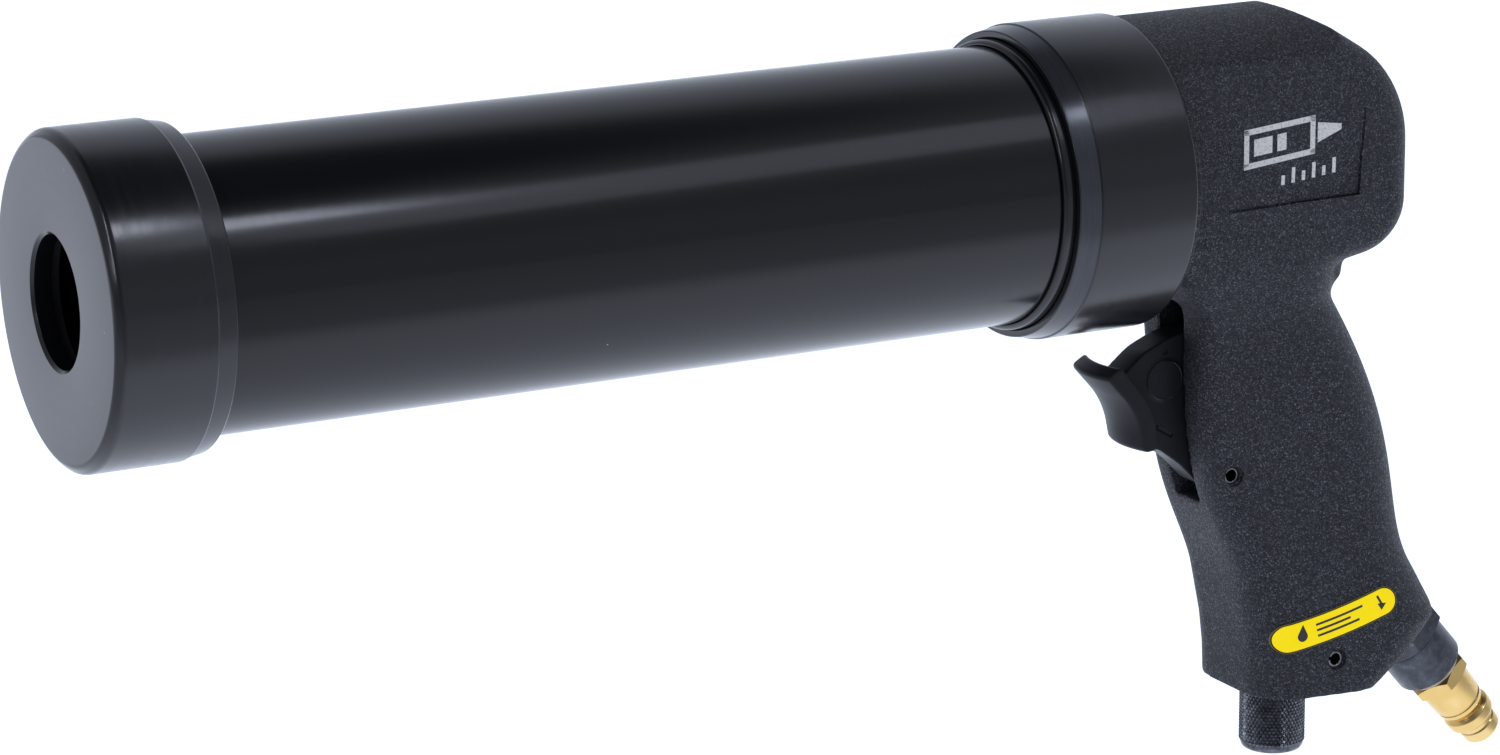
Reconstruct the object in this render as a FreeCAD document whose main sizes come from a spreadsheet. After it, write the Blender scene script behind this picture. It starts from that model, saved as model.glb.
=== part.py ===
import FreeCAD, Part
import math
import os
import Sketcher

# Air-powered gun for 310 ml sealant cartridges.
# Frame: origin at the centre of the nozzle hole on the muzzle face, +X to the rear along the barrel,
# +Z up. Millimetres.

doc = FreeCAD.newDocument("air_caulking_gun")
sheet = doc.addObject("Spreadsheet::Sheet", "Dims")

SIZES = {
    # barrel tube and its stop ring, measured along the barrel from the muzzle face
    "tube_radius": 28.0,
    "tube_bore": 26.5,
    "tube_front": 6.3,
    "tube_rear": 209.5,
    "stop_front": 205.6,
    "stop_radius": 30.0,
    # front cap and the ring that cushions the cartridge
    "cap_length": 23.4,
    "cap_radius": 31.8,
    "cap_face_radius": 30.4,
    "cap_edge": 1.4,
    "cap_taper": 4.2,
    "cap_rear_radius": 30.9,
    "cap_wall": 4.0,
    "cap_bore": 28.1,
    "nozzle_hole": 12.5,
    "bumper_bore": 14.0,
    "bumper_radius": 27.8,
    "bumper_rear": 6.0,
    # union collar and its slip ring
    "collar_front": 199.4,
    "collar_rear": 226.3,
    "collar_radius": 31.9,
    "collar_lip_radius": 31.2,
    "collar_taper": 4.65,
    "collar_lip_bore": 29.35,
    "collar_shoulder": 205.5,
    "collar_bore": 30.4,
    "slip_front": 197.0,
    "slip_rear": 205.2,
    "slip_bore": 28.05,
    "slip_radius": 29.25,
    # spigot on the casting, its thread and the seal in front of it
    "gasket_front": 209.6,
    "gasket_bore": 21.0,
    "gasket_radius": 29.8,
    "spigot_front": 211.6,
    "spigot_radius": 30.3,
    "spigot_core": 29.6,
    "spigot_rear": 228.2,
    "spigot_chamfer": 0.6,
    "thread_pitch": 2.0,
    "plenum_radius": 20.0,
    "plenum_depth": 4.0,
    # head of the casting
    "head_front": 226.3,
    "head_half_width": 20.0,
    "head_taper_start": -7.0,
    "head_taper_round": 40.0,
    "head_low_half_width": 18.6,
    "head_crown_radius": 31.0,
    "head_rear": 287.7,
    "head_slope_start": 261.9,
    "head_slope_end": 16.3,
    "head_slope_round": 15.0,
    "head_upper_round": 24.0,
    "head_lower_round": 12.0,
    "head_rear_base": -19.05,
    "head_base": -23.2,
    "head_base_rear": 262.0,
    "head_front_base": -12.0,
    "head_edge_round": 7.0,
    # brow under the head: a keel as wide as the trigger slot, with an eave each side of it
    "brow_front": 228.3,
    "brow_front_keel": -24.1,
    "brow_front_eave": -16.0,
    "brow_front_half_width": 15.5,
    "brow_rear": 241.0,
    "brow_rear_keel": -31.8,
    "brow_rear_eave": -25.4,
    "brow_rear_half_width": 13.0,
    # grip: the half width of each station is its width at side_middle
    "side_middle": 277.0,
    "palm_round": 13.0,
    # trigger slot
    "slot_half_width": 4.5,
    "slot_depth": 252.5,
    "slot_base": -71.6,
    "slot_top": -28.0,
    # recessed panel on each side of the head
    "panel_front": 240.3,
    "panel_rear": 273.2,
    "panel_base": -6.6,
    "panel_height": 18.0,
    "panel_depth": 0.6,
    "panel_lean": 0.9,
    # trigger and its pivot
    "pivot_x": 248.0,
    "pivot_z": -64.4,
    "pin_radius": 1.75,
    "pin_wall": 0.6,
    "pin_slit": 0.7,
    "pivot_pin_half_length": 12.4,
    "trigger_bore": 1.8,
    "trigger_boss": 4.2,
    "trigger_half_web": 3.5,
    "trigger_half_pad": 7.1,
    "trigger_back": 246.0,
    "button_x": 237.1,
    "button_radius": 4.3,
    "button_proud": 0.3,
    "button_rise": 0.4,
    # trigger valve, on an axis along X
    "valve_height": -45.0,
    "valve_bore": 4.4,
    "valve_bore_end": 277.5,
    "retainer_front": 252.6,
    "retainer_rear": 254.5,
    "sleeve_front": 254.6,
    "sleeve_rear": 266.5,
    "sleeve_radius": 4.3,
    "sleeve_bore": 2.05,
    "sleeve_groove": 3.5,
    "sleeve_mouth": 3.0,
    "sleeve_mouth_depth": 3.0,
    "sleeve_gallery": 1.3,
    "sleeve_port": 0.8,
    "sleeve_port_half": 5.0,
    "oring_front_land": 1.0,
    "oring_rear_land": 1.2,
    "oring_half_groove": 0.8,
    "oring_wire": 0.42,
    "stem_front": 246.3,
    "stem_radius": 2.0,
    "stem_neck": 1.2,
    "stem_land_end": 256.4,
    "stem_seal_front": 266.65,
    "stem_head_front": 267.6,
    "stem_head_rear": 269.8,
    "stem_head_radius": 3.3,
    "stem_tail": 1.6,
    "stem_rear": 273.0,
    "stem_chamfer": 0.8,
    "spring_front": 269.9,
    "spring_radius": 2.5,
    "spring_wire": 0.6,
    "spring_coils": 5.0,
    # air passages
    "port_height": -8.0,
    "port_radius": 2.5,
    "outlet_x": 260.7,
    "outlet_radius": 2.0,
    "supply_radius": 1.8,
    # regulator, on a vertical axis
    "knob_x": 267.7,
    "knob_radius": 7.05,
    "knob_base": -129.9,
    "knob_top": -115.0,
    "knob_chamfer": 1.2,
    "shank_radius": 5.0,
    "shank_top": -93.0,
    "shank_bore": 1.56,
    "shank_bore_base": -111.5,
    "shank_bore_clear": 5.08,
    "pin_groove": 2.6,
    "pin_groove_half": 1.85,
    "lower_pin_x": 272.1,
    "lower_pin_z": -106.7,
    "lower_pin_half_length": 16.6,
    "ring_groove_base": -100.0,
    "ring_groove_top": -97.9,
    "ring_groove_radius": 3.4,
    "knob_oring_wire": 0.8,
    "guide_oring_wire": 0.75,
    "guide_base": -92.7,
    "guide_top": -86.0,
    "guide_step": -88.2,
    "guide_step_radius": 3.15,
    "guide_bore": 1.55,
    "guide_bore_end": -85.5,
    "throttle_radius": 3.2,
    "throttle_top": -66.5,
    "needle_base": -106.0,
    "needle_shoulder": -82.5,
    "needle_stem": 1.5,
    "needle_radius": 2.2,
    "needle_cone": -70.0,
    "needle_tip": -66.9,
    "needle_tip_radius": 0.6,
    # inlet, on an axis that slants down and to the rear: lengths run down it from the grip's outermost
    # section, and the cut face of the grip lies inlet_face above that
    "inlet_x": 297.4,
    "inlet_z": -105.6,
    "inlet_angle": 49.0,
    "inlet_face": 3.4,
    "inlet_thread_radius": 6.0,
    "inlet_thread_length": 12.0,
    "inlet_thread_chamfer": 0.6,
    "inlet_thread_relief": 0.4,
    "inlet_drill": 3.0,
    "hex_flats": 16.5,
    "hex_end": 6.5,
    "hex_spin": 15.0,
    "collar_end": 17.2,
    "inlet_collar_radius": 7.7,
    "inlet_collar_edge": 0.8,
    "inlet_bore": 3.6,
    "plug_thread": 4.9,
    "plug_thread_start": 9.2,
    "filter_start": 1.0,
    "filter_end": 8.9,
    "washer_end": 17.9,
    "washer_radius": 6.4,
    "plug_flats": 12.6,
    "plug_hex_end": 21.4,
    "plug_body_radius": 5.85,
    "plug_body_end": 30.3,
    "plug_body_end_radius": 5.2,
    "plug_groove": 4.1,
    "plug_bead_start": 31.2,
    "plug_bead_end": 35.2,
    "plug_bead_radius": 5.5,
    "plug_bead_chamfer": 0.9,
    "plug_nose_start": 36.4,
    "plug_nose_radius": 4.4,
    "plug_nose_chamfer": 1.2,
    "plug_end": 40.2,
    "plug_bore": 2.6,
    # oiling label on the near side of the grip
    "label_middle_x": 271.8,
    "label_middle_z": -98.6,
    "label_tilt": 14.75,
    "label_bend": 112.5,
    "label_half_length": 11.2,
    "label_half_height": 3.3,
    "label_thickness": 0.2,
}

# Grip stations from the foot up: height, front, rear, half width at side_middle, how much each side
# opens for a millimetre to the rear, and front corner radius.
GRIP = {
    "foot": (-114.6, 256.0, 290.5, 17.6, 0.13, 9.5),
    "inlet_low": (-108.0, 255.8, 297.3, 17.6, 0.13, 9.3),
    "inlet_top": (-100.9, 255.0, 301.8, 17.6, 0.13, 9.0),
    "heel": (-91.0, 252.9, 296.4, 17.6, 0.13, 8.6),
    "palm_low": (-82.0, 249.8, 292.9, 17.3, 0.13, 7.8),
    "palm": (-71.6, 245.4, 291.2, 17.1, 0.13, 7.0),
    "palm_high": (-61.0, 242.6, 289.2, 17.0, 0.13, 5.8),
    "finger": (-48.0, 241.1, 285.0, 17.0, 0.13, 4.8),
    "web_low": (-36.0, 240.8, 279.2, 17.3, 0.13, 4.0),
    "web": (-29.5, 240.4, 275.0, 17.9, 0.09, 3.5),
    "brow": (-22.0, 232.8, 274.8, 18.9, 0.02, 3.0),
    "neck": (-13.0, 228.4, 276.5, 19.7, 0.0, 3.0),
}
FIELDS = ("height", "front", "rear", "half_width", "flare", "front_round")
STRAIGHT_BELOW = 4
STRAIGHT_ABOVE = 3

for station, numbers in GRIP.items():
    for field, number in zip(FIELDS, numbers):
        SIZES[station + "_" + field] = number

for row, (alias, number) in enumerate(SIZES.items(), start=1):
    sheet.set("A%d" % row, alias)
    sheet.set("B%d" % row, str(number))
    sheet.setAlias("B%d" % row, alias)
doc.recompute()


# ---------------------------------------------------------------- helpers

def size(alias):
    """A driving dimension, read from the sheet."""
    return float(sheet.get(alias))


def value(text):
    """The number that a sum of aliases and plain numbers, such as "a + b - 2", stands for."""
    total = 0.0
    sign = 1.0
    for word in str(text).split():
        if word in "+-":
            sign = 1.0 if word == "+" else -1.0
        else:
            total += sign * (size(word) if word in SIZES else float(word))
    return total


def bound(text):
    """The same sum as an expression on the sheet."""
    words = str(text).split()
    return " ".join("Dims." + word if word in SIZES else word for word in words)


def place(thing, x="0", y="0", z="0", turn=None):
    """Puts an object at a place bound to the sheet, turned by (axis, degrees)."""
    if turn:
        thing.Placement.Rotation = FreeCAD.Rotation(FreeCAD.Vector(*turn[0]), turn[1])
    for axis, text in (("x", x), ("y", y), ("z", z)):
        thing.setExpression("Placement.Base." + axis, bound(text))
    return thing


def turned(label, outline, about="H_Axis"):
    """A body turned from a closed outline of (X, Z) sums, about the sketch's X or Z axis."""
    body = doc.addObject("PartDesign::Body", label)
    body.Label = label
    sketch = body.newObject("Sketcher::SketchObject", label + "_outline")
    plane = [item for item in body.Origin.OriginFeatures if item.Role == "XZ_Plane"][0]
    sketch.AttachmentSupport = [(plane, "")]
    sketch.MapMode = "FlatFace"
    corners = [FreeCAD.Vector(value(first), value(second), 0) for first, second in outline]
    count = len(corners)
    for index in range(count):
        sketch.addGeometry(Part.LineSegment(corners[index], corners[(index + 1) % count]), False)
    for index in range(count):
        sketch.addConstraint(Sketcher.Constraint("Coincident", index, 2, (index + 1) % count, 1))
    for index, sums in enumerate(outline):
        for kind, text in zip(("DistanceX", "DistanceY"), sums):
            rule = sketch.addConstraint(Sketcher.Constraint(kind, -1, 1, index, 1, value(text)))
            sketch.setExpression("Constraints[%d]" % rule, bound(text))
    turn = body.newObject("PartDesign::Revolution", label + "_turn")
    turn.Profile = sketch
    turn.ReferenceAxis = (sketch, [about])
    turn.Angle = 360
    sketch.Visibility = False
    doc.recompute()
    return body


def ring(label, start, end, inner, outer):
    """A plain ring about the barrel axis."""
    return turned(label, [(start, inner), (start, outer), (end, outer), (end, inner)])


def cylinder(label, radius, height, x="0", y="0", z="0", turn=None):
    rod = doc.addObject("Part::Cylinder", label)
    rod.setExpression("Radius", bound(radius))
    rod.setExpression("Height", bound(height))
    return place(rod, x, y, z, turn)


def cut(label, base, *tools):
    """The base with every tool taken away."""
    for index, tool in enumerate(tools):
        last = index == len(tools) - 1
        result = doc.addObject("Part::Cut", label if last else label + "_step%d" % index)
        result.Base = base
        result.Tool = tool
        base = result
    base.Label = label
    doc.recompute()
    return base


def fuse(label, *pieces):
    result = doc.addObject("Part::MultiFuse", label)
    result.Shapes = list(pieces)
    result.Label = label
    doc.recompute()
    return result


def rounded(corners, axes):
    """A closed wire through (first, second, radius) corners, placed by axes(first, second)."""
    points = [axes(first, second) for first, second, radius in corners]
    count = len(points)
    edges = []
    ends = []
    for index, (first, second, radius) in enumerate(corners):
        corner = points[index]
        to_last = (points[index - 1] - corner).normalize()
        to_next = (points[(index + 1) % count] - corner).normalize()
        if radius <= 0:
            ends.append((corner, corner, None))
            continue
        half = to_last.getAngle(to_next) / 2
        run = radius / math.tan(half)
        inward = (to_last + to_next).normalize()
        centre = corner + inward * (radius / math.sin(half))
        ends.append((corner + to_last * run, corner + to_next * run, centre - inward * radius))
    for index, (start, end, middle) in enumerate(ends):
        if middle is not None:
            edges.append(Part.Arc(start, middle, end).toShape())
        following = ends[(index + 1) % count][0]
        if (following - end).Length > TOUCHING:
            edges.append(Part.LineSegment(end, following).toShape())
    return Part.Wire(edges)


def in_side_view(first, second):
    return FreeCAD.Vector(first, 0, second)


def slab(wire, along, thickness):
    """A wire's face pushed both ways along an axis, to a whole thickness."""
    step = FreeCAD.Vector(*along) * thickness
    face = Part.Face(wire)
    face.translate(step * -0.5)
    return face.extrude(step)


def rod_between(start, along, length, radius):
    return Part.makeCylinder(radius, length, FreeCAD.Vector(*start), FreeCAD.Vector(*along))


def feature(label, shape):
    """An object with a shape made by Part's own functions."""
    thing = doc.addObject("Part::Feature", label)
    thing.Label = label
    thing.Shape = shape
    return thing


# A cutting tool runs OVERLAP past the face that it opens; points nearer than TOUCHING are one point.
OVERLAP = 1.0
TOUCHING = 1e-6
INLET_TURN = ((0, 1, 0), size("inlet_angle"))
INLET_DOWN = FreeCAD.Rotation(FreeCAD.Vector(0, 1, 0), size("inlet_angle")).multVec(FreeCAD.Vector(1, 0, 0))
ALONG_Y = ((1, 0, 0), 90)
NODES = []


def keep(thing):
    NODES.append(thing)
    return thing


# ---------------------------------------------------------------- barrel, cap and collar

keep(ring("barrel_tube", "tube_front", "tube_rear", "tube_bore", "tube_radius"))
keep(ring("barrel_stop_ring", "stop_front", "tube_rear", "tube_radius", "stop_radius"))
keep(ring("cap_bumper_ring", "cap_wall", "bumper_rear", "bumper_bore", "bumper_radius"))
keep(ring("head_gasket", "gasket_front", "spigot_front", "gasket_bore", "gasket_radius"))

keep(turned("front_cap", [
    ("0", "nozzle_hole"),
    ("0", "cap_face_radius"),
    ("cap_edge", "cap_radius"),
    ("cap_length - cap_taper", "cap_radius"),
    ("cap_length", "cap_rear_radius"),
    ("cap_length", "cap_bore"),
    ("cap_wall", "cap_bore"),
    ("cap_wall", "nozzle_hole"),
]))

keep(turned("union_collar", [
    ("collar_front", "collar_lip_bore"),
    ("collar_front", "collar_lip_radius"),
    ("collar_front + collar_taper", "collar_radius"),
    ("collar_rear", "collar_radius"),
    ("collar_rear", "collar_bore"),
    ("collar_shoulder", "collar_bore"),
    ("collar_shoulder", "collar_lip_bore"),
]))

keep(turned("collar_slip_ring", [
    ("slip_front", "slip_bore"),
    ("slip_front", "slip_radius - 0.8"),
    ("slip_front + 0.8", "slip_radius"),
    ("slip_rear", "slip_radius"),
    ("slip_rear", "slip_bore"),
]))


# ---------------------------------------------------------------- casting

def head():
    """The block behind the barrel: a side outline with soft rear edges, a front one and the crown."""
    half = size("head_half_width")
    over = size("head_crown_radius") + OVERLAP
    under = size("head_base") - OVERLAP
    length = size("head_rear") + OVERLAP
    side = rounded([
        (size("head_front"), over, 0),
        (size("head_slope_start"), over, size("head_slope_round")),
        (size("head_rear"), size("head_slope_end"), size("head_upper_round")),
        (size("head_rear"), size("head_rear_base"), size("head_lower_round")),
        (size("head_base_rear"), size("head_base"), 0),
        (size("head_front"), size("head_front_base"), 0),
    ], in_side_view)
    low = size("head_low_half_width")
    front = rounded([
        (-half, over, 0),
        (-half, size("head_taper_start"), size("head_taper_round")),
        (-low, under, 0),
        (low, under, 0),
        (half, size("head_taper_start"), size("head_taper_round")),
        (half, over, 0),
    ], lambda first, second: FreeCAD.Vector(size("head_front"), first, second))
    block = slab(side, (0, 1, 0), 2 * half)
    block = block.makeFillet(size("head_edge_round"), rear_edges(block))
    crown = rod_between((0, 0, 0), (1, 0, 0), length, size("head_crown_radius"))
    return block.common(slab(front, (1, 0, 0), length)).common(crown)


def rear_edges(block):
    """The edges of the block's two sides that run round its rear, from the slope to the base."""
    found = []
    for edge in block.Edges:
        box = edge.BoundBox
        across = box.YLength > TOUCHING
        at_front = box.XMin < size("head_front") + OVERLAP
        at_rear = box.XMax > size("head_base_rear") + OVERLAP
        if at_rear and not at_front and not across:
            found.append(edge)
    return found


def grip_side(station, x):
    """Half the grip's width at a place along a station, before its corners are rounded."""
    return size(station + "_half_width") + size(station + "_flare") * (x - size("side_middle"))


def grip_section(station, proud=0.0):
    """The grip's outline at a station, or one that stands proud of it all round."""
    front = size(station + "_front") - proud
    rear = size(station + "_rear") + proud
    front_half = grip_side(station, front) + proud
    rear_half = grip_side(station, rear) + proud
    return rounded([
        (front, -front_half, size(station + "_front_round") + proud),
        (rear, -rear_half, size("palm_round") + proud),
        (rear, rear_half, size("palm_round") + proud),
        (front, front_half, size(station + "_front_round") + proud),
    ], lambda first, second: FreeCAD.Vector(first, second, size(station + "_height")))


def grip_foot(proud=0.0):
    """The straight lower end of the handle."""
    stations = list(GRIP)[:STRAIGHT_BELOW]
    return Part.makeLoft([grip_section(station, proud) for station in stations], True, True)


def grip():
    """The handle: a smooth loft between two straight ones, cut off square to the inlet."""
    sections = [grip_section(station) for station in GRIP]
    middle = Part.makeLoft(sections[STRAIGHT_BELOW - 1:1 - STRAIGHT_ABOVE], True, False)
    upper = Part.makeLoft(sections[-STRAIGHT_ABOVE:], True, True)
    reach = 60.0
    waste = Part.makeBox(reach, reach, reach, FreeCAD.Vector(-size("inlet_face"), -reach / 2, -reach / 2))
    waste.Placement = FreeCAD.Placement(
        FreeCAD.Vector(size("inlet_x"), 0, size("inlet_z")),
        FreeCAD.Rotation(FreeCAD.Vector(0, 1, 0), size("inlet_angle")))
    return middle.fuse([grip_foot(), upper]).cut(waste)


def brow():
    """The hipped underside between the collar and the cheeks of the trigger slot."""
    keel = size("slot_half_width")
    ends = []
    for end in ("brow_front", "brow_rear"):
        half = size(end + "_half_width")
        eave = size(end + "_eave")
        outline = [(-keel, size(end + "_keel")), (keel, size(end + "_keel")), (half, eave),
                   (half, size("neck_height")), (-half, size("neck_height")), (-half, eave)]
        points = [FreeCAD.Vector(size(end), y, z) for y, z in outline]
        ends.append(Part.makePolygon(points + points[:1]))
    return Part.makeLoft(ends, True, True)


def spigot():
    """The round boss that the collar screws on, with its thread as rings one pitch apart."""
    front = size("spigot_front")
    pitch = size("thread_pitch")
    core = size("spigot_core")
    crest = size("spigot_radius")
    crest_start = pitch / 2
    crest_end = pitch * 0.6
    first = front + pitch / 2
    points = [(front, 0), (front, core - size("spigot_chamfer"))]
    count = int((size("head_front") - front) / pitch) - 1
    for turn in range(count):
        start = first + pitch * turn
        points += [(start, core), (start + crest_start, crest), (start + crest_end, crest)]
    points += [(first + pitch * count, core), (size("head_front"), core)]
    points += [(size("head_front"), crest), (size("spigot_rear"), crest), (size("spigot_rear"), 0)]
    wire = Part.makePolygon([in_side_view(x, radius) for x, radius in points + points[:1]])
    return Part.Face(wire).revolve(FreeCAD.Vector(0, 0, 0), FreeCAD.Vector(1, 0, 0), 360)


def air_ways():
    """Everything bored or cored in the casting for air, valve, regulator and inlet."""
    knob_x = size("knob_x")
    foot = size("foot_height") - OVERLAP
    valve_z = size("valve_height")
    port_z = size("port_height")
    plenum_x = size("spigot_front") - OVERLAP
    valve_x = size("slot_depth") - OVERLAP
    inlet = (size("inlet_x"), 0, size("inlet_z"))
    inward = tuple(INLET_DOWN * -1)
    to_regulator = (size("inlet_x") - knob_x) / INLET_DOWN.x
    return [
        rod_between((plenum_x, 0, 0), (1, 0, 0), size("plenum_depth") + OVERLAP, size("plenum_radius")),
        rod_between((plenum_x, 0, port_z), (1, 0, 0), size("outlet_x") - plenum_x, size("port_radius")),
        rod_between((size("outlet_x"), 0, valve_z), (0, 0, 1), port_z - valve_z, size("outlet_radius")),
        rod_between((valve_x, 0, valve_z), (1, 0, 0), size("valve_bore_end") - valve_x, size("valve_bore")),
        rod_between((knob_x, 0, foot), (0, 0, 1), size("guide_bore_end") - foot, size("shank_bore_clear")),
        rod_between((knob_x, 0, foot), (0, 0, 1), size("throttle_top") - foot, size("throttle_radius")),
        rod_between((knob_x, 0, foot), (0, 0, 1), valve_z - foot, size("supply_radius")),
        rod_between(inlet, inward, size("inlet_thread_length") + size("inlet_thread_relief"),
                    size("inlet_thread_radius")),
        rod_between(inlet, inward, to_regulator, size("inlet_drill")),
    ]


def cross_holes():
    """The two holes for roll pins, right through the grip."""
    reach = 25.0
    holes = []
    for x, z in (("pivot_x", "pivot_z"), ("lower_pin_x", "lower_pin_z")):
        holes.append(rod_between((size(x), -reach, size(z)), (0, 1, 0), 2 * reach, size("pin_radius")))
    return holes


def panels():
    """Shallow panels on the head's sides, deepest at their lower rear corner."""
    wedges = []
    for side in (-1, 1):
        flush = side * size("head_half_width")
        base = size("panel_base")
        corners = [
            FreeCAD.Vector(size("panel_front"), flush, base),
            FreeCAD.Vector(size("panel_rear"), flush - side * size("panel_depth"), base),
            FreeCAD.Vector(size("panel_rear") + size("panel_lean"), flush, base + size("panel_height")),
        ]
        floor = Part.Face(Part.makePolygon(corners + corners[:1]))
        wedges.append(floor.extrude(FreeCAD.Vector(0, side * 4 * OVERLAP, 0)))
    return wedges


def pistol_body():
    shape = head().fuse([grip(), brow(), spigot()]).removeSplitter()
    slot_front = size("head_front") - OVERLAP
    slot = Part.makeBox(
        size("slot_depth") - slot_front, 2 * size("slot_half_width"), size("slot_top") - size("slot_base"),
        FreeCAD.Vector(slot_front, -size("slot_half_width"), size("slot_base")))
    return shape.cut([slot] + air_ways() + cross_holes() + panels())


keep(feature("pistol_body", pistol_body()))


# ---------------------------------------------------------------- trigger and pins

def roll_pin(label, x, z, half_length):
    """A rolled spring pin along Y, with its slit to the front."""
    shape = cylinder(label + "_rod", "pin_radius", half_length + " + " + half_length,
                     x, half_length, z, ALONG_Y)
    bore = cylinder(label + "_bore", "pin_radius - pin_wall", half_length + " + " + half_length,
                    x, half_length, z, ALONG_Y)
    slit = doc.addObject("Part::Box", label + "_slit")
    slit.setExpression("Length", bound("pin_radius + pin_radius"))
    slit.setExpression("Width", bound(half_length + " + " + half_length))
    slit.setExpression("Height", bound("pin_slit"))
    place(slit, x + " - pin_radius - pin_radius", "0 - " + half_length, z)
    return cut(label, shape, bore, slit)


keep(roll_pin("trigger_pivot_pin", "pivot_x", "pivot_z", "pivot_pin_half_length"))
keep(roll_pin("regulator_lock_pin", "lower_pin_x", "lower_pin_z", "lower_pin_half_length"))


def trigger():
    """A moulded lever: a web in the slot, a curved finger pad and a boss on the pivot."""
    back = size("trigger_back")
    web = rounded([
        (226.0, -43.0, 2),
        (231.5, -38.6, 8),
        (238.0, -35.9, 8),
        (back - 1.2, -34.3, 0),
        (back, -36.0, 0),
        (back, size("pivot_z"), 0),
        (245.2, -67.5, 0),
        (241.2, -63.3, 12),
        (236.0, -59.3, 5),
        (229.5, -58.2, 0),
    ], in_side_view)
    pad = rounded([
        (219.6, -41.6, 0.8),
        (223.0, -39.6, 0.8),
        (226.2, -43.6, 9),
        (231.2, -49.5, 16),
        (232.2, -58.1, 0.8),
        (228.9, -58.6, 1.2),
        (227.2, -50.0, 18),
        (223.2, -45.6, 14),
    ], in_side_view)
    half_web = size("trigger_half_web")
    half_pad = size("trigger_half_pad")
    half_button = half_web + size("button_proud")
    button_z = size("valve_height") + size("button_rise")
    pivot_x = size("pivot_x")
    pivot_z = size("pivot_z")
    boss = rod_between((pivot_x, -half_web, pivot_z), (0, 1, 0), 2 * half_web, size("trigger_boss"))
    button = rod_between((size("button_x"), -half_button, button_z), (0, 1, 0), 2 * half_button,
                         size("button_radius"))
    shape = slab(web, (0, 1, 0), 2 * half_web).fuse([slab(pad, (0, 1, 0), 2 * half_pad), boss, button])
    bore = rod_between((pivot_x, -half_pad, pivot_z), (0, 1, 0), 2 * half_pad, size("trigger_bore"))
    return shape.cut(bore).removeSplitter()


keep(feature("trigger", trigger()))


# ---------------------------------------------------------------- trigger valve

def on_valve(body):
    return place(body, z="valve_height")


keep(on_valve(ring("valve_retainer", "retainer_front", "retainer_rear", "sleeve_bore", "sleeve_radius")))

sleeve = on_valve(turned("valve_sleeve_blank", [
    ("sleeve_front", "sleeve_mouth"),
    ("sleeve_front", "sleeve_radius"),
    ("sleeve_front + oring_front_land", "sleeve_radius"),
    ("sleeve_front + oring_front_land", "sleeve_groove"),
    ("sleeve_front + oring_front_land + oring_half_groove + oring_half_groove", "sleeve_groove"),
    ("sleeve_front + oring_front_land + oring_half_groove + oring_half_groove", "sleeve_radius"),
    ("outlet_x - sleeve_gallery", "sleeve_radius"),
    ("outlet_x - sleeve_gallery", "sleeve_groove"),
    ("outlet_x + sleeve_gallery", "sleeve_groove"),
    ("outlet_x + sleeve_gallery", "sleeve_radius"),
    ("sleeve_rear - oring_rear_land - oring_half_groove - oring_half_groove", "sleeve_radius"),
    ("sleeve_rear - oring_rear_land - oring_half_groove - oring_half_groove", "sleeve_groove"),
    ("sleeve_rear - oring_rear_land", "sleeve_groove"),
    ("sleeve_rear - oring_rear_land", "sleeve_radius"),
    ("sleeve_rear", "sleeve_radius"),
    ("sleeve_rear", "sleeve_bore"),
    ("sleeve_front + sleeve_mouth_depth", "sleeve_bore"),
    ("sleeve_front + sleeve_mouth_depth", "sleeve_mouth"),
]))
port_length = "sleeve_port_half + sleeve_port_half"
sleeve_ports = [
    cylinder("sleeve_port_across", "sleeve_port", port_length, "outlet_x", "sleeve_port_half", "valve_height",
             ALONG_Y),
    cylinder("sleeve_port_up", "sleeve_port", port_length, "outlet_x", "0",
             "valve_height - sleeve_port_half"),
]
keep(cut("valve_sleeve", sleeve, *sleeve_ports))


def seal_ring(label, major, minor, x="0", z="0", turn=((0, 1, 0), 90)):
    """A rubber O-ring."""
    loop = doc.addObject("Part::Torus", label)
    loop.setExpression("Radius1", bound(major))
    loop.setExpression("Radius2", bound(minor))
    return place(loop, x, "0", z, turn)


keep(fuse("valve_sleeve_orings",
          seal_ring("front_oring", "sleeve_groove + oring_wire", "oring_wire",
                    "sleeve_front + oring_front_land + oring_half_groove", "valve_height"),
          seal_ring("rear_oring", "sleeve_groove + oring_wire", "oring_wire",
                    "sleeve_rear - oring_rear_land - oring_half_groove", "valve_height")))

keep(on_valve(turned("valve_stem", [
    ("stem_front", "0"),
    ("stem_front", "stem_radius - stem_chamfer"),
    ("stem_front + stem_chamfer", "stem_radius"),
    ("stem_land_end", "stem_radius"),
    ("stem_land_end", "stem_neck"),
    ("stem_head_front", "stem_neck"),
    ("stem_head_front", "stem_head_radius"),
    ("stem_head_rear", "stem_head_radius"),
    ("stem_head_rear", "stem_tail"),
    ("stem_rear", "stem_tail"),
    ("stem_rear", "0"),
])))
keep(on_valve(ring("valve_stem_seal", "stem_seal_front", "stem_head_front", "stem_neck", "stem_head_radius")))


def valve_spring():
    """A coil about the stem's tail, between its head and the end of the bore."""
    radius = size("spring_radius")
    length = size("valve_bore_end") - size("spring_front") - size("spring_wire")
    helix = Part.makeHelix(length / size("spring_coils"), length, radius)
    circle = Part.makeCircle(size("spring_wire") / 2, FreeCAD.Vector(radius, 0, 0), FreeCAD.Vector(0, 1, 0))
    return Part.Wire(helix.Edges).makePipeShell([Part.Wire(circle)], True, True)


spring = feature("valve_spring", valve_spring())
spring.Placement = FreeCAD.Placement(
    FreeCAD.Vector(size("spring_front") + size("spring_wire") / 2, 0, size("valve_height")),
    FreeCAD.Rotation(FreeCAD.Vector(0, 1, 0), 90))
keep(spring)


# ---------------------------------------------------------------- regulator

def on_regulator(body):
    return place(body, x="knob_x")


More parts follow.
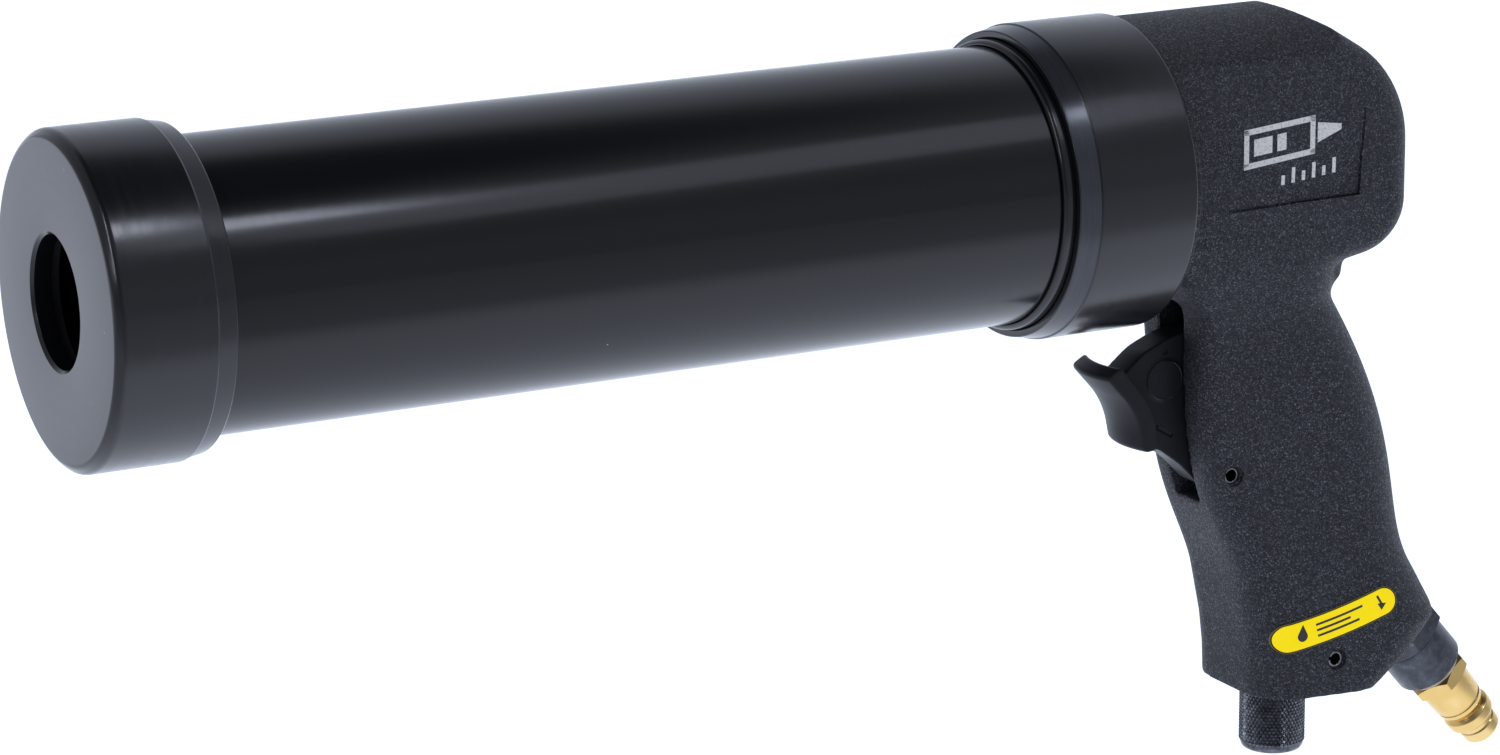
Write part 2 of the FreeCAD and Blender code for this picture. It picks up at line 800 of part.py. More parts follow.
keep(on_regulator(turned("regulator_knob", [
    ("0", "knob_base"),
    ("knob_radius - knob_chamfer", "knob_base"),
    ("knob_radius", "knob_base + knob_chamfer"),
    ("knob_radius", "knob_top"),
    ("shank_radius", "knob_top"),
    ("shank_radius", "lower_pin_z - pin_groove_half"),
    ("pin_groove", "lower_pin_z - pin_groove_half"),
    ("pin_groove", "lower_pin_z + pin_groove_half"),
    ("shank_radius", "lower_pin_z + pin_groove_half"),
    ("shank_radius", "ring_groove_base"),
    ("ring_groove_radius", "ring_groove_base"),
    ("ring_groove_radius", "ring_groove_top"),
    ("shank_radius", "ring_groove_top"),
    ("shank_radius", "shank_top"),
    ("shank_bore", "shank_top"),
    ("shank_bore", "shank_bore_base"),
    ("0", "shank_bore_base"),
], "V_Axis")))

keep(seal_ring("knob_oring", "ring_groove_radius + knob_oring_wire + 0.02", "knob_oring_wire", "knob_x",
               "ring_groove_top - 1.05", None))

keep(on_regulator(turned("regulator_guide", [
    ("guide_bore", "guide_base"),
    ("shank_bore_clear", "guide_base"),
    ("shank_bore_clear", "guide_top"),
    ("guide_step_radius", "guide_top"),
    ("guide_step_radius", "guide_step"),
    ("guide_bore", "guide_step"),
], "V_Axis")))

keep(seal_ring("guide_oring", "guide_bore + guide_oring_wire + 0.03", "guide_oring_wire", "knob_x",
               "guide_step + 0.8", None))

keep(on_regulator(turned("regulator_needle", [
    ("0", "needle_base"),
    ("needle_stem", "needle_base"),
    ("needle_stem", "needle_shoulder"),
    ("needle_radius", "needle_shoulder"),
    ("needle_radius", "needle_cone"),
    ("needle_tip_radius", "needle_tip"),
    ("0", "needle_tip"),
], "V_Axis")))


# ---------------------------------------------------------------- air inlet

def on_inlet(body):
    return place(body, "inlet_x", "0", "inlet_z", INLET_TURN)


def hexagon(label, flats, length, start):
    """A hexagonal bar along the inlet's axis, with a corner towards the near side of the grip."""
    bar = doc.addObject("Part::Prism", label)
    bar.Polygon = 6
    bar.setExpression("Circumradius", "(" + bound(flats) + ") / sqrt(3)")
    bar.setExpression("Height", bound(length))
    spin = FreeCAD.Rotation(FreeCAD.Vector(1, 0, 0), size("hex_spin"))
    upright = FreeCAD.Rotation(FreeCAD.Vector(0, 1, 0), 90)
    tilt = FreeCAD.Rotation(FreeCAD.Vector(*INLET_TURN[0]), INLET_TURN[1])
    origin = FreeCAD.Vector(size("inlet_x"), 0, size("inlet_z"))
    bar.Placement = FreeCAD.Placement(origin + INLET_DOWN * value(start), tilt * spin * upright)
    return bar


bushing_body = on_inlet(turned("inlet_bushing_round", [
    ("0 - inlet_thread_length", "inlet_bore"),
    ("0 - inlet_thread_length", "inlet_thread_radius - inlet_thread_chamfer"),
    ("inlet_thread_chamfer - inlet_thread_length", "inlet_thread_radius"),
    ("0 - inlet_face", "inlet_thread_radius"),
    ("0.2 - inlet_face", "inlet_collar_radius"),
    ("collar_end - inlet_collar_edge", "inlet_collar_radius"),
    ("collar_end", "inlet_collar_radius - inlet_collar_edge"),
    ("collar_end", "plug_thread"),
    ("plug_thread_start", "plug_thread"),
    ("plug_thread_start", "inlet_bore"),
]))
bushing_hex = hexagon("inlet_bushing_hex", "hex_flats", "hex_end + inlet_face - 0.05", "0.05 - inlet_face")
bushing_core = on_inlet(turned("inlet_bushing_core", [
    ("0 - inlet_face", "0"),
    ("0 - inlet_face", "inlet_collar_radius - 1"),
    ("hex_end + 1", "inlet_collar_radius - 1"),
    ("hex_end + 1", "0"),
]))
bushing_shell = cut("inlet_bushing_shell", bushing_hex, bushing_core)
keep(fuse("inlet_bushing", bushing_body, bushing_shell))

keep(on_inlet(turned("inlet_filter", [
    ("filter_start", "0"),
    ("filter_start", "inlet_bore - 0.8"),
    ("filter_end", "inlet_bore"),
    ("filter_end", "0"),
])))

keep(on_inlet(ring("plug_washer", "collar_end", "washer_end", "plug_thread", "washer_radius")))

plug_body = on_inlet(turned("air_plug_round", [
    ("plug_thread_start + 0.3", "plug_bore"),
    ("plug_thread_start + 0.3", "plug_thread"),
    ("washer_end", "plug_thread"),
    ("washer_end", "plug_body_radius"),
    ("plug_hex_end + 0.4", "plug_body_radius"),
    ("plug_body_end - 1.8", "plug_body_end_radius + 0.2"),
    ("plug_body_end - 1.6", "plug_body_end_radius"),
    ("plug_body_end", "plug_body_end_radius"),
    ("plug_body_end + 0.3", "plug_groove"),
    ("plug_bead_start", "plug_groove"),
    ("plug_bead_start", "plug_bead_radius - plug_bead_chamfer"),
    ("plug_bead_start + plug_bead_chamfer", "plug_bead_radius"),
    ("plug_bead_end - plug_bead_chamfer", "plug_bead_radius"),
    ("plug_bead_end", "plug_bead_radius - plug_bead_chamfer"),
    ("plug_bead_end", "plug_groove"),
    ("plug_nose_start", "plug_groove"),
    ("plug_nose_start + 0.3", "plug_nose_radius"),
    ("plug_end - plug_nose_chamfer", "plug_nose_radius"),
    ("plug_end", "plug_nose_radius - plug_nose_chamfer"),
    ("plug_end", "plug_bore"),
]))
plug_hex = hexagon("air_plug_hex", "plug_flats", "plug_hex_end - washer_end", "washer_end")
plug_core = on_inlet(turned("air_plug_core", [
    ("0", "0"),
    ("0", "plug_body_radius - 1"),
    ("plug_hex_end + 1", "plug_body_radius - 1"),
    ("plug_hex_end + 1", "0"),
]))
plug_shell = cut("air_plug_shell", plug_hex, plug_core)
keep(fuse("air_plug", plug_body, plug_shell))


# ---------------------------------------------------------------- label

def oiling_label():
    """A gently bent capsule of film that follows the near side of the grip's foot."""
    bend = size("label_bend")
    half_height = size("label_half_height")
    swing = size("label_half_length") / bend
    bottom = -math.pi / 2

    def at(radius, angle):
        return FreeCAD.Vector(radius * math.cos(angle), 0, bend + radius * math.sin(angle))

    def end_point(angle, side):
        return at(bend, angle) + FreeCAD.Vector(-math.sin(angle), 0, math.cos(angle)) * half_height * side

    low = bend + half_height
    high = bend - half_height
    left = bottom - swing
    right = bottom + swing
    film = Part.Face(Part.Wire([
        Part.Arc(at(low, left), at(low, bottom), at(low, right)).toShape(),
        Part.Arc(at(low, right), end_point(right, 1), at(high, right)).toShape(),
        Part.Arc(at(high, right), at(high, bottom), at(high, left)).toShape(),
        Part.Arc(at(high, left), end_point(left, -1), at(low, left)).toShape(),
    ]))
    film.rotate(FreeCAD.Vector(0, 0, 0), FreeCAD.Vector(0, 1, 0), -size("label_tilt"))
    film.translate(FreeCAD.Vector(size("label_middle_x"), 0, size("label_middle_z")))
    stamp = film.extrude(FreeCAD.Vector(0, -2 * size("foot_half_width"), 0))
    return grip_foot(size("label_thickness")).cut(grip_foot()).common(stamp)


keep(feature("oiling_label", oiling_label()))


# ---------------------------------------------------------------- checks and files

doc.recompute()
for thing in doc.Objects:
    if "Invalid" in thing.State or "Error" in thing.State:
        raise RuntimeError("%s failed: %s" % (thing.Label, thing.State))

os.makedirs("parts", exist_ok=True)
for thing in NODES:
    if thing.Shape.isNull() or not thing.Shape.isValid():
        raise RuntimeError(thing.Label + " has no valid shape")
    thing.Shape.exportStep(os.path.join("parts", thing.Label + ".step"))
    bounds = thing.Shape.BoundBox
    print("%-22s %8.0f mm3  %d solids  X %.1f..%.1f  Y %.1f..%.1f  Z %.1f..%.1f" % (
        thing.Label, thing.Shape.Volume, len(thing.Shape.Solids),
        bounds.XMin, bounds.XMax, bounds.YMin, bounds.YMax, bounds.ZMin, bounds.ZMax))
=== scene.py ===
import math

import bmesh
import bpy
from mathutils import Matrix, Vector
from mathutils.bvhtree import BVHTree


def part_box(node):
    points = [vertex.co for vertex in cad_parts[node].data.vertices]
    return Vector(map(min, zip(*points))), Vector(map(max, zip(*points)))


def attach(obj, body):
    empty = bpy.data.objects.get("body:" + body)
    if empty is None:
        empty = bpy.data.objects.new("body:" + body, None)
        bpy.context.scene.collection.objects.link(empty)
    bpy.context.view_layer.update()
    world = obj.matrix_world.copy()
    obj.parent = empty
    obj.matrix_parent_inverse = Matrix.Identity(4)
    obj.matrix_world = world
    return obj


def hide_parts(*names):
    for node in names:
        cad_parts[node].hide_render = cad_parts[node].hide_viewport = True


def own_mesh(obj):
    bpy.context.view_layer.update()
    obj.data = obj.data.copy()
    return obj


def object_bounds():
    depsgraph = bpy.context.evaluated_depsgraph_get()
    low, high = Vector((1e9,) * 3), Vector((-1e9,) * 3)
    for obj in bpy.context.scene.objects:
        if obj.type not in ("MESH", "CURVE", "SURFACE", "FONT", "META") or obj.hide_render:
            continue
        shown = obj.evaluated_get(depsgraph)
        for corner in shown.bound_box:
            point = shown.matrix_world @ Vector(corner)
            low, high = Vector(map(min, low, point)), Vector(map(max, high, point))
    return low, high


# Looks for an air-powered caulking gun: camera, studio, materials, and the pieces whose surfaces need
# more than the CAD frame gives. Sizes are in millimetres unless a name says otherwise; MM turns them
# into the frame's metres. +X runs to the rear along the barrel and the near side of the gun faces -Y.

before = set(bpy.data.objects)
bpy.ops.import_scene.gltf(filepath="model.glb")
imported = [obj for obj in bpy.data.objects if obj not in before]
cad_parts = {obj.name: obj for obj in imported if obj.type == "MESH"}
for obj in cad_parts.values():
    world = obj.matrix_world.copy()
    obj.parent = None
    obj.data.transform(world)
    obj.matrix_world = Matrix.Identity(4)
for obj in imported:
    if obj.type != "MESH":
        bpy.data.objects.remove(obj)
cad_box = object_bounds()
MM = 0.001


# ---------------------------------------------------------------- camera

LOOK_AT = Vector((142.56, 0.0, -32.55)) * MM
LOOK_DISTANCE = 939.46 * MM
LOOK_AZIMUTH = math.radians(-27.98)
LOOK_ELEVATION = math.radians(14.5)
LOOK_ROLL = math.radians(0.563)
LENS = 114.74
SENSOR = 36.0


def make_camera():
    level = math.cos(LOOK_ELEVATION)
    away = Vector((math.sin(LOOK_AZIMUTH) * level, -math.cos(LOOK_AZIMUTH) * level,
                   math.sin(LOOK_ELEVATION)))
    right = Vector((0, 0, 1)).cross(away).normalized()
    up = away.cross(right)
    leaning_up = up * math.cos(LOOK_ROLL) + right * math.sin(LOOK_ROLL)
    leaning_right = leaning_up.cross(away)
    data = bpy.data.cameras.new("camera")
    data.lens = LENS
    data.sensor_width = SENSOR
    data.clip_start = 0.05
    data.clip_end = 100.0
    camera = bpy.data.objects.new("camera", data)
    bpy.context.scene.collection.objects.link(camera)
    turn = Matrix((leaning_right, leaning_up, away)).transposed()
    camera.matrix_world = Matrix.LocRotScale(LOOK_AT + away * LOOK_DISTANCE, turn.to_quaternion(), None)
    bpy.context.scene.camera = camera


make_camera()
bpy.context.scene.view_settings.view_transform = "Standard"


# ---------------------------------------------------------------- node helpers

def add(tree, kind, inputs=None, **settings):
    """A shader node with its settings; an input is a number, a colour or another node's socket."""
    made = tree.nodes.new(kind)
    for key, setting in settings.items():
        setattr(made, key, setting)
    for key, item in (inputs or {}).items():
        if isinstance(item, bpy.types.NodeSocket):
            tree.links.new(item, made.inputs[key])
        else:
            made.inputs[key].default_value = item
    return made


def calculate(tree, operation, first, second=0.0):
    return add(tree, "ShaderNodeMath", {0: first, 1: second}, operation=operation).outputs[0]


def plus(tree, first, second):
    return calculate(tree, "ADD", first, second)


def minus(tree, first, second):
    return calculate(tree, "SUBTRACT", first, second)


def times(tree, first, second):
    return calculate(tree, "MULTIPLY", first, second)


def length_of(tree, first, second):
    """The long side of a right triangle."""
    return calculate(tree, "SQRT", plus(tree, times(tree, first, first), times(tree, second, second)))


def fade(tree, factor, start, end, low=0.0, high=1.0):
    """A number that runs smoothly from low to high as the factor runs from start to end."""
    made = add(tree, "ShaderNodeMapRange", {
        "Value": factor, "From Min": start, "From Max": end, "To Min": low, "To Max": high},
        interpolation_type="SMOOTHSTEP")
    return made.outputs["Result"]


def ramp(tree, factor, stops):
    """A colour ramp with (position, grey or colour) stops."""
    made = add(tree, "ShaderNodeValToRGB", {"Fac": factor})
    elements = made.color_ramp.elements
    while len(elements) < len(stops):
        elements.new(0.5)
    for element, (position, shade) in zip(elements, stops):
        element.position = position
        element.color = (*shade, 1) if isinstance(shade, tuple) else (shade, shade, shade, 1)
    return made.outputs["Color"]


def mix(tree, factor, first, second):
    made = add(tree, "ShaderNodeMix", {"Factor": factor}, data_type="RGBA")
    for key, item in (("A", first), ("B", second)):
        socket = [s for s in made.inputs if s.name == key and s.type == "RGBA"][0]
        if isinstance(item, bpy.types.NodeSocket):
            tree.links.new(item, socket)
        else:
            socket.default_value = (*item, 1)
    return [s for s in made.outputs if s.type == "RGBA"][0]


def finish(name, colour, roughness, **sockets):
    """A new material with its shader's plain values, and what its patterns are made with: the tree, the
    shader and the place, in metres of the piece's own frame."""
    material = bpy.data.materials.new(name)
    material.use_nodes = True
    tree = material.node_tree
    shader = tree.nodes["Principled BSDF"]
    shader.inputs["Base Color"].default_value = (*colour, 1)
    shader.inputs["Roughness"].default_value = roughness
    for key, number in sockets.items():
        shader.inputs[key.replace("_", " ")].default_value = number
    material.diffuse_color = (*colour, 1)
    return material, tree, shader, add(tree, "ShaderNodeTexCoord").outputs["Object"]


def noise(tree, place, scale, detail=2.0, rough=0.5):
    made = add(tree, "ShaderNodeTexNoise",
               {"Vector": place, "Scale": scale, "Detail": detail, "Roughness": rough})
    return made.outputs["Fac"]


def cells(tree, place, scale):
    """Voronoi cells: distance to the cell's middle, and a random number for the cell."""
    made = add(tree, "ShaderNodeTexVoronoi", {"Vector": place, "Scale": scale})
    pick = add(tree, "ShaderNodeSeparateColor", {"Color": made.outputs["Color"]})
    return made.outputs["Distance"], pick.outputs[0]


def bump(tree, shader, height, distance, strength=1.0):
    made = add(tree, "ShaderNodeBump", {"Height": height, "Distance": distance, "Strength": strength})
    tree.links.new(made.outputs["Normal"], shader.inputs["Normal"])


def feed(tree, shader, key, socket):
    tree.links.new(socket, shader.inputs[key])


def between(tree, factor, low, high):
    """A number that runs from low to high as the factor runs from 0 to 1."""
    made = add(tree, "ShaderNodeMapRange", {"Value": factor, "To Min": low, "To Max": high})
    return made.outputs["Result"]


def specks(tree, place, scale, share, radius):
    """1 on small round specks in a share of the cells, else 0; radius is in cell widths."""
    distance, pick = cells(tree, place, scale)
    chosen = calculate(tree, "GREATER_THAN", pick, 1.0 - share)
    near = calculate(tree, "LESS_THAN", distance, radius)
    return times(tree, chosen, near)


def around_axis(tree, place):
    """(along X, distance from the axis, angle about it) of a place."""
    parts = add(tree, "ShaderNodeSeparateXYZ", {"Vector": place})
    along, side, up = parts.outputs
    return along, length_of(tree, side, up), calculate(tree, "ARCTAN2", side, up)


def turning_marks(tree, place, fineness, sweep):
    """Fine rings left by a lathe tool: noise that changes fast along and across, slowly round the axis."""
    along, across, angle = around_axis(tree, place)
    made = add(tree, "ShaderNodeCombineXYZ", {
        "X": times(tree, along, fineness),
        "Y": times(tree, across, fineness),
        "Z": times(tree, calculate(tree, "ABSOLUTE", angle), sweep)})
    return noise(tree, made.outputs["Vector"], 1.0, 3.0, 0.6)


# ---------------------------------------------------------------- materials

def coated_casting():
    """Black powder coat: dense fine grains, the brightest of them painted glints in the base colour, and a
    little mottling.
    """
    material, tree, shader, place = finish("coated_casting", (0.02, 0.0207, 0.0235), 0.5,
                                           Specular_IOR_Level=0.22)
    distance, pick = cells(tree, place, 4000.0)
    grain = noise(tree, place, 3600.0, 3.0, 0.7)
    mottle = noise(tree, place, 320.0, 4.0, 0.6)
    grain_and_painted_glints = plus(tree, times(tree, pick, 0.55), times(tree, grain, 0.75))
    # The top of this ramp paints light-grey glints into the base colour; the lower stops are the coat's own
    # grain.
    base = ramp(tree, grain_and_painted_glints, [(0.3, (0.0075, 0.0078, 0.009)), (0.62, (0.025, 0.026, 0.03)),
                                (0.84, (0.05, 0.052, 0.059)), (1.0, (0.26, 0.27, 0.295))])
    mottled = mix(tree, between(tree, mottle, 0.0, 0.4), base, (0.0208, 0.0216, 0.0248))
    feed(tree, shader, "Base Color", mottled)
    feed(tree, shader, "Roughness", between(tree, grain_and_painted_glints, 0.7, 0.36))
    bump(tree, shader, minus(tree, times(tree, grain, 1.6), distance), 0.00015)
    return material


def black_anodised_tube():
    """Gloss black: slight waviness of the polish, dust specks and hairline scuffs."""
    black = (0.004, 0.0042, 0.005)
    material, tree, shader, place = finish("black_anodised_tube", black, 0.16, Specular_IOR_Level=0.42)
    fine_dust = specks(tree, place, 210.0, 0.03, 0.05)
    coarse_dust = specks(tree, place, 90.0, 0.02, 0.03)
    dust = calculate(tree, "MAXIMUM", fine_dust, coarse_dust)
    scuffs = turning_marks(tree, place, 900.0, 3.0)
    cloud = noise(tree, place, 24.0, 3.0, 0.55)
    feed(tree, shader, "Base Color", mix(tree, dust, black, (0.35, 0.36, 0.37)))
    gloss = plus(tree, between(tree, cloud, 0.1, 0.19), between(tree, scuffs, -0.02, 0.03))
    feed(tree, shader, "Roughness", gloss)
    bump(tree, shader, plus(tree, times(tree, cloud, 2.0), scuffs), 0.000012, 0.5)
    return material


def black_turned_metal():
    """Polished black from the lathe, with fine rings round the axis."""
    material, tree, shader, place = finish("black_turned_metal", (0.005, 0.0053, 0.0065), 0.2,
                                           Specular_IOR_Level=0.55)
    rings = turning_marks(tree, place, 5200.0, 5.0)
    wide = turning_marks(tree, place, 700.0, 1.5)
    dust = specks(tree, place, 260.0, 0.02, 0.05)
    shade = mix(tree, between(tree, rings, 0.0, 1.0), (0.003, 0.0032, 0.004), (0.009, 0.0095, 0.0115))
    feed(tree, shader, "Base Color", mix(tree, dust, shade, (0.3, 0.31, 0.32)))
    feed(tree, shader, "Roughness", between(tree, wide, 0.13, 0.27))
    bump(tree, shader, plus(tree, rings, wide), 0.00001, 0.6)
    return material


def burnished_edge():
    """The collar's turned front taper, where the black is thin and the metal shines through."""
    material, tree, shader, place = finish("burnished_edge", (0.05, 0.053, 0.06), 0.2, Metallic=0.5)
    rings = turning_marks(tree, place, 4200.0, 6.0)
    feed(tree, shader, "Base Color", mix(tree, rings, (0.03, 0.032, 0.037), (0.075, 0.078, 0.088)))
    feed(tree, shader, "Roughness", between(tree, rings, 0.14, 0.26))
    bump(tree, shader, rings, 0.00001, 0.6)
    return material


def slip_ring_plastic():
    material, tree, shader, place = finish("slip_ring_plastic", (0.006, 0.006, 0.007), 0.14)
    drawn = turning_marks(tree, place, 1500.0, 1.0)
    feed(tree, shader, "Roughness", between(tree, drawn, 0.08, 0.24))
    bump(tree, shader, drawn, 0.00001, 0.4)
    return material


def trigger_plastic():
    """Moulded black plastic with a faint spark-eroded texture and polished-by-use patches."""
    material, tree, shader, place = finish("trigger_plastic", (0.016, 0.0166, 0.0192), 0.36,
                                           Specular_IOR_Level=0.1)
    texture = noise(tree, place, 3200.0, 2.0, 0.5)
    rubbed = noise(tree, place, 160.0, 3.0, 0.5)
    feed(tree, shader, "Base Color", mix(tree, rubbed, (0.012, 0.0125, 0.0145), (0.022, 0.0228, 0.0262)))
    feed(tree, shader, "Roughness", between(tree, rubbed, 0.28, 0.46))
    bump(tree, shader, texture, 0.00003, 0.4)
    return material


def knurled_knob():
    """Black oxide on steel, brighter where the knurl is handled."""
    material, tree, shader, place = finish("knurled_knob", (0.03, 0.031, 0.035), 0.3, Metallic=0.9)
    worn = noise(tree, place, 700.0, 3.0, 0.6)
    shade = ramp(tree, worn, [(0.35, (0.065, 0.068, 0.077)), (0.75, (0.2, 0.206, 0.222))])
    feed(tree, shader, "Base Color", shade)
    feed(tree, shader, "Roughness", between(tree, worn, 0.34, 0.2))
    bump(tree, shader, noise(tree, place, 2500.0), 0.00002, 0.4)
    return material


def black_bushing():
    """Black oxide on turned steel: fine rings and bright rubbed spots."""
    material, tree, shader, place = finish("black_bushing", (0.04, 0.042, 0.05), 0.32, Metallic=0.6)
    rings = turning_marks(tree, place, 4200.0, 4.0)
    rubbed = noise(tree, place, 380.0, 4.0, 0.65)
    shade = ramp(tree, rubbed, [(0.4, (0.045, 0.048, 0.058)), (0.62, (0.085, 0.089, 0.104)),
                                (0.8, (0.3, 0.29, 0.29))])
    feed(tree, shader, "Base Color", shade)
    feed(tree, shader, "Roughness", between(tree, rings, 0.2, 0.46))
    bump(tree, shader, rings, 0.000012, 0.6)
    return material


def brass():
    """Bright turned brass, a little tarnished in patches."""
    material, tree, shader, place = finish("brass", (0.77, 0.53, 0.2), 0.2, Metallic=1.0)
    rings = turning_marks(tree, place, 4600.0, 3.0)
    tarnish = noise(tree, place, 160.0, 2.0, 0.5)
    shade = ramp(tree, tarnish, [(0.2, (0.7, 0.455, 0.15)), (0.55, (0.78, 0.535, 0.2)),
                                 (0.8, (0.83, 0.6, 0.26))])
    feed(tree, shader, "Base Color", shade)
    feed(tree, shader, "Roughness", between(tree, rings, 0.14, 0.26))
    bump(tree, shader, rings, 0.000006, 0.4)
    return material


def ground_metal(name, dark, light, smoothest, roughest):
    """Bare metal with fine marks round the axis, darker in patches."""
    material, tree, shader, place = finish(name, light, smoothest, Metallic=1.0)
    marks = turning_marks(tree, place, 5000.0, 4.0)
    patches = noise(tree, place, 500.0, 3.0, 0.6)
    feed(tree, shader, "Base Color", mix(tree, patches, dark, light))
    feed(tree, shader, "Roughness", between(tree, marks, smoothest, roughest))
    bump(tree, shader, marks, 0.000008, 0.5)
    return material


def steel():
    return ground_metal("steel", (0.42, 0.42, 0.43), (0.62, 0.62, 0.62), 0.2, 0.38)


def dark_steel():
    return ground_metal("dark_steel", (0.1, 0.1, 0.105), (0.3, 0.3, 0.31), 0.2, 0.36)


def seal_rubber():
    material, tree, shader, place = finish("seal_rubber", (0.013, 0.013, 0.013), 0.6)
    bloom = noise(tree, place, 900.0, 4.0, 0.6)
    feed(tree, shader, "Base Color", mix(tree, bloom, (0.009, 0.009, 0.009), (0.03, 0.03, 0.031)))
    feed(tree, shader, "Roughness", between(tree, bloom, 0.45, 0.75))
    bump(tree, shader, bloom, 0.00004, 0.4)
    return material


def fibre_washer():
    material, tree, shader, place = finish("fibre_washer", (0.62, 0.58, 0.46), 0.7)
    fibres = noise(tree, place, 1700.0, 5.0, 0.7)
    feed(tree, shader, "Base Color", mix(tree, fibres, (0.42, 0.38, 0.29), (0.78, 0.75, 0.64)))
    bump(tree, shader, fibres, 0.00006, 0.5)
    return material


def filter_bronze():
    """Sintered beads."""
    material, tree, shader, place = finish("filter_bronze", (0.5, 0.34, 0.16), 0.45, Metallic=1.0)
    distance, pick = cells(tree, place, 3600.0)
    feed(tree, shader, "Base Color", mix(tree, pick, (0.34, 0.22, 0.09), (0.66, 0.47, 0.25)))
    bump(tree, shader, minus(tree, 1.0, distance), 0.0001, 0.8)
    return material


LABEL_MIDDLE = (271.8, -98.6)
LABEL_TILT = math.radians(14.75)
LABEL_BEND = 112.5
LABEL_HALF_LENGTH = 11.2
LABEL_HALF_HEIGHT = 3.3
LABEL_RIM = 0.12
LABEL_LINE = 0.36
LABEL_PAINTED_GLOW = 0.3


def label_film():
    """Fluorescent yellow film with a painted glow on the yellow: a dark line near the edge of the bent
    capsule and a dull rim outside it.
    """
    material, tree, shader, place = finish("label_film", (1.0, 0.76, 0.0), 0.3, Specular_IOR_Level=0.2)
    parts = add(tree, "ShaderNodeSeparateXYZ", {"Vector": place})
    from_x = minus(tree, times(tree, parts.outputs["X"], 1 / MM), LABEL_MIDDLE[0])
    from_z = minus(tree, times(tree, parts.outputs["Z"], 1 / MM), LABEL_MIDDLE[1])
    cosine = math.cos(LABEL_TILT)
    sine = math.sin(LABEL_TILT)
    along = plus(tree, times(tree, from_x, cosine), times(tree, from_z, sine))
    above = minus(tree, times(tree, from_z, cosine), times(tree, from_x, sine))
    down = minus(tree, LABEL_BEND, above)
    across = minus(tree, length_of(tree, along, down), LABEL_BEND)
    swing = times(tree, calculate(tree, "ARCTAN2", along, down), LABEL_BEND)
    past_straight = minus(tree, calculate(tree, "ABSOLUTE", swing), LABEL_HALF_LENGTH)
    beyond = calculate(tree, "MAXIMUM", past_straight, 0.0)
    inset = minus(tree, LABEL_HALF_HEIGHT, length_of(tree, beyond, across))
    edge = calculate(tree, "LESS_THAN", inset, LABEL_LINE)
    rim = calculate(tree, "LESS_THAN", inset, LABEL_RIM)
    grain = noise(tree, place, 900.0, 3.0, 0.6)
    yellow = mix(tree, grain, (1.0, 0.74, 0.0), (1.0, 0.8, 0.0))
    lined = mix(tree, edge, yellow, (0.02, 0.018, 0.006))
    feed(tree, shader, "Base Color", mix(tree, rim, lined, (0.2, 0.17, 0.05)))
    # Painted glow: the yellow gives off light of its own, though the film is no lamp; the dark line does
    # not.
    feed(tree, shader, "Emission Color", mix(tree, edge, (1.0, 0.72, 0.0), (0.0, 0.0, 0.0)))
    shader.inputs["Emission Strength"].default_value = LABEL_PAINTED_GLOW
    feed(tree, shader, "Roughness", between(tree, grain, 0.22, 0.42))
    bump(tree, shader, grain, 0.00002, 0.3)
    return material


def print_ink(name, light, dark, roughness):
    """Screen-printed ink, thin in places."""
    material, tree, shader, place = finish(name, light, roughness)
    thin = noise(tree, place, 1800.0, 4.0, 0.65)
    feed(tree, shader, "Base Color", ramp(tree, thin, [(0.3, dark), (0.5, light)]))
    feed(tree, shader, "Roughness", between(tree, thin, roughness - 0.1, roughness + 0.15))
    bump(tree, shader, thin, 0.00003, 0.4)
    return material


SLOT_FINISHES = {
    make.__name__: make() for make in (
        coated_casting, black_anodised_tube, black_turned_metal, slip_ring_plastic, trigger_plastic,
        knurled_knob, black_bushing, brass, steel, dark_steel, seal_rubber, fibre_washer, filter_bronze,
        label_film)
}


def paint(piece, material):
    piece.data.materials.clear()
    piece.data.materials.append(material)


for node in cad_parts.values():
    for place_in_list in node.material_slots:
        place_in_list.material = SLOT_FINISHES[place_in_list.material.name.split(".")[0]]


# ---------------------------------------------------------------- studio

# The studio is laid out in metres. A pair is where a shade starts and ends, or its two levels.
FLOOR_DROP = 0.32
FLOOR_REACH = 20.0
FLOOR_NEAR = (-0.5, -0.95)
FLOOR_GLOW = (0.9, 0.25)
FLOOR_LEFT = (-0.6, 0.0)
FLOOR_LEFT_SHADE = 0.35
FLOOR_FAR = (0.9, 1.5)
ROOM_BEHIND = (-0.5, 0.15)
ROOM_LEFT = (-0.6, 0.1)
ROOM_LEFT_SHADE = 0.5
COOL_LIGHT = (0.86, 0.93, 1.09)
BARREL_MIDDLE = (0.14, 0.0, -0.03)


def as_object(name, work):
    """A scene object from a bmesh, in the frame's metres."""
    mesh = bpy.data.meshes.new(name)
    work.to_mesh(mesh)
    work.free()
    piece = bpy.data.objects.new(name, mesh)
    bpy.context.scene.collection.objects.link(piece)
    return piece


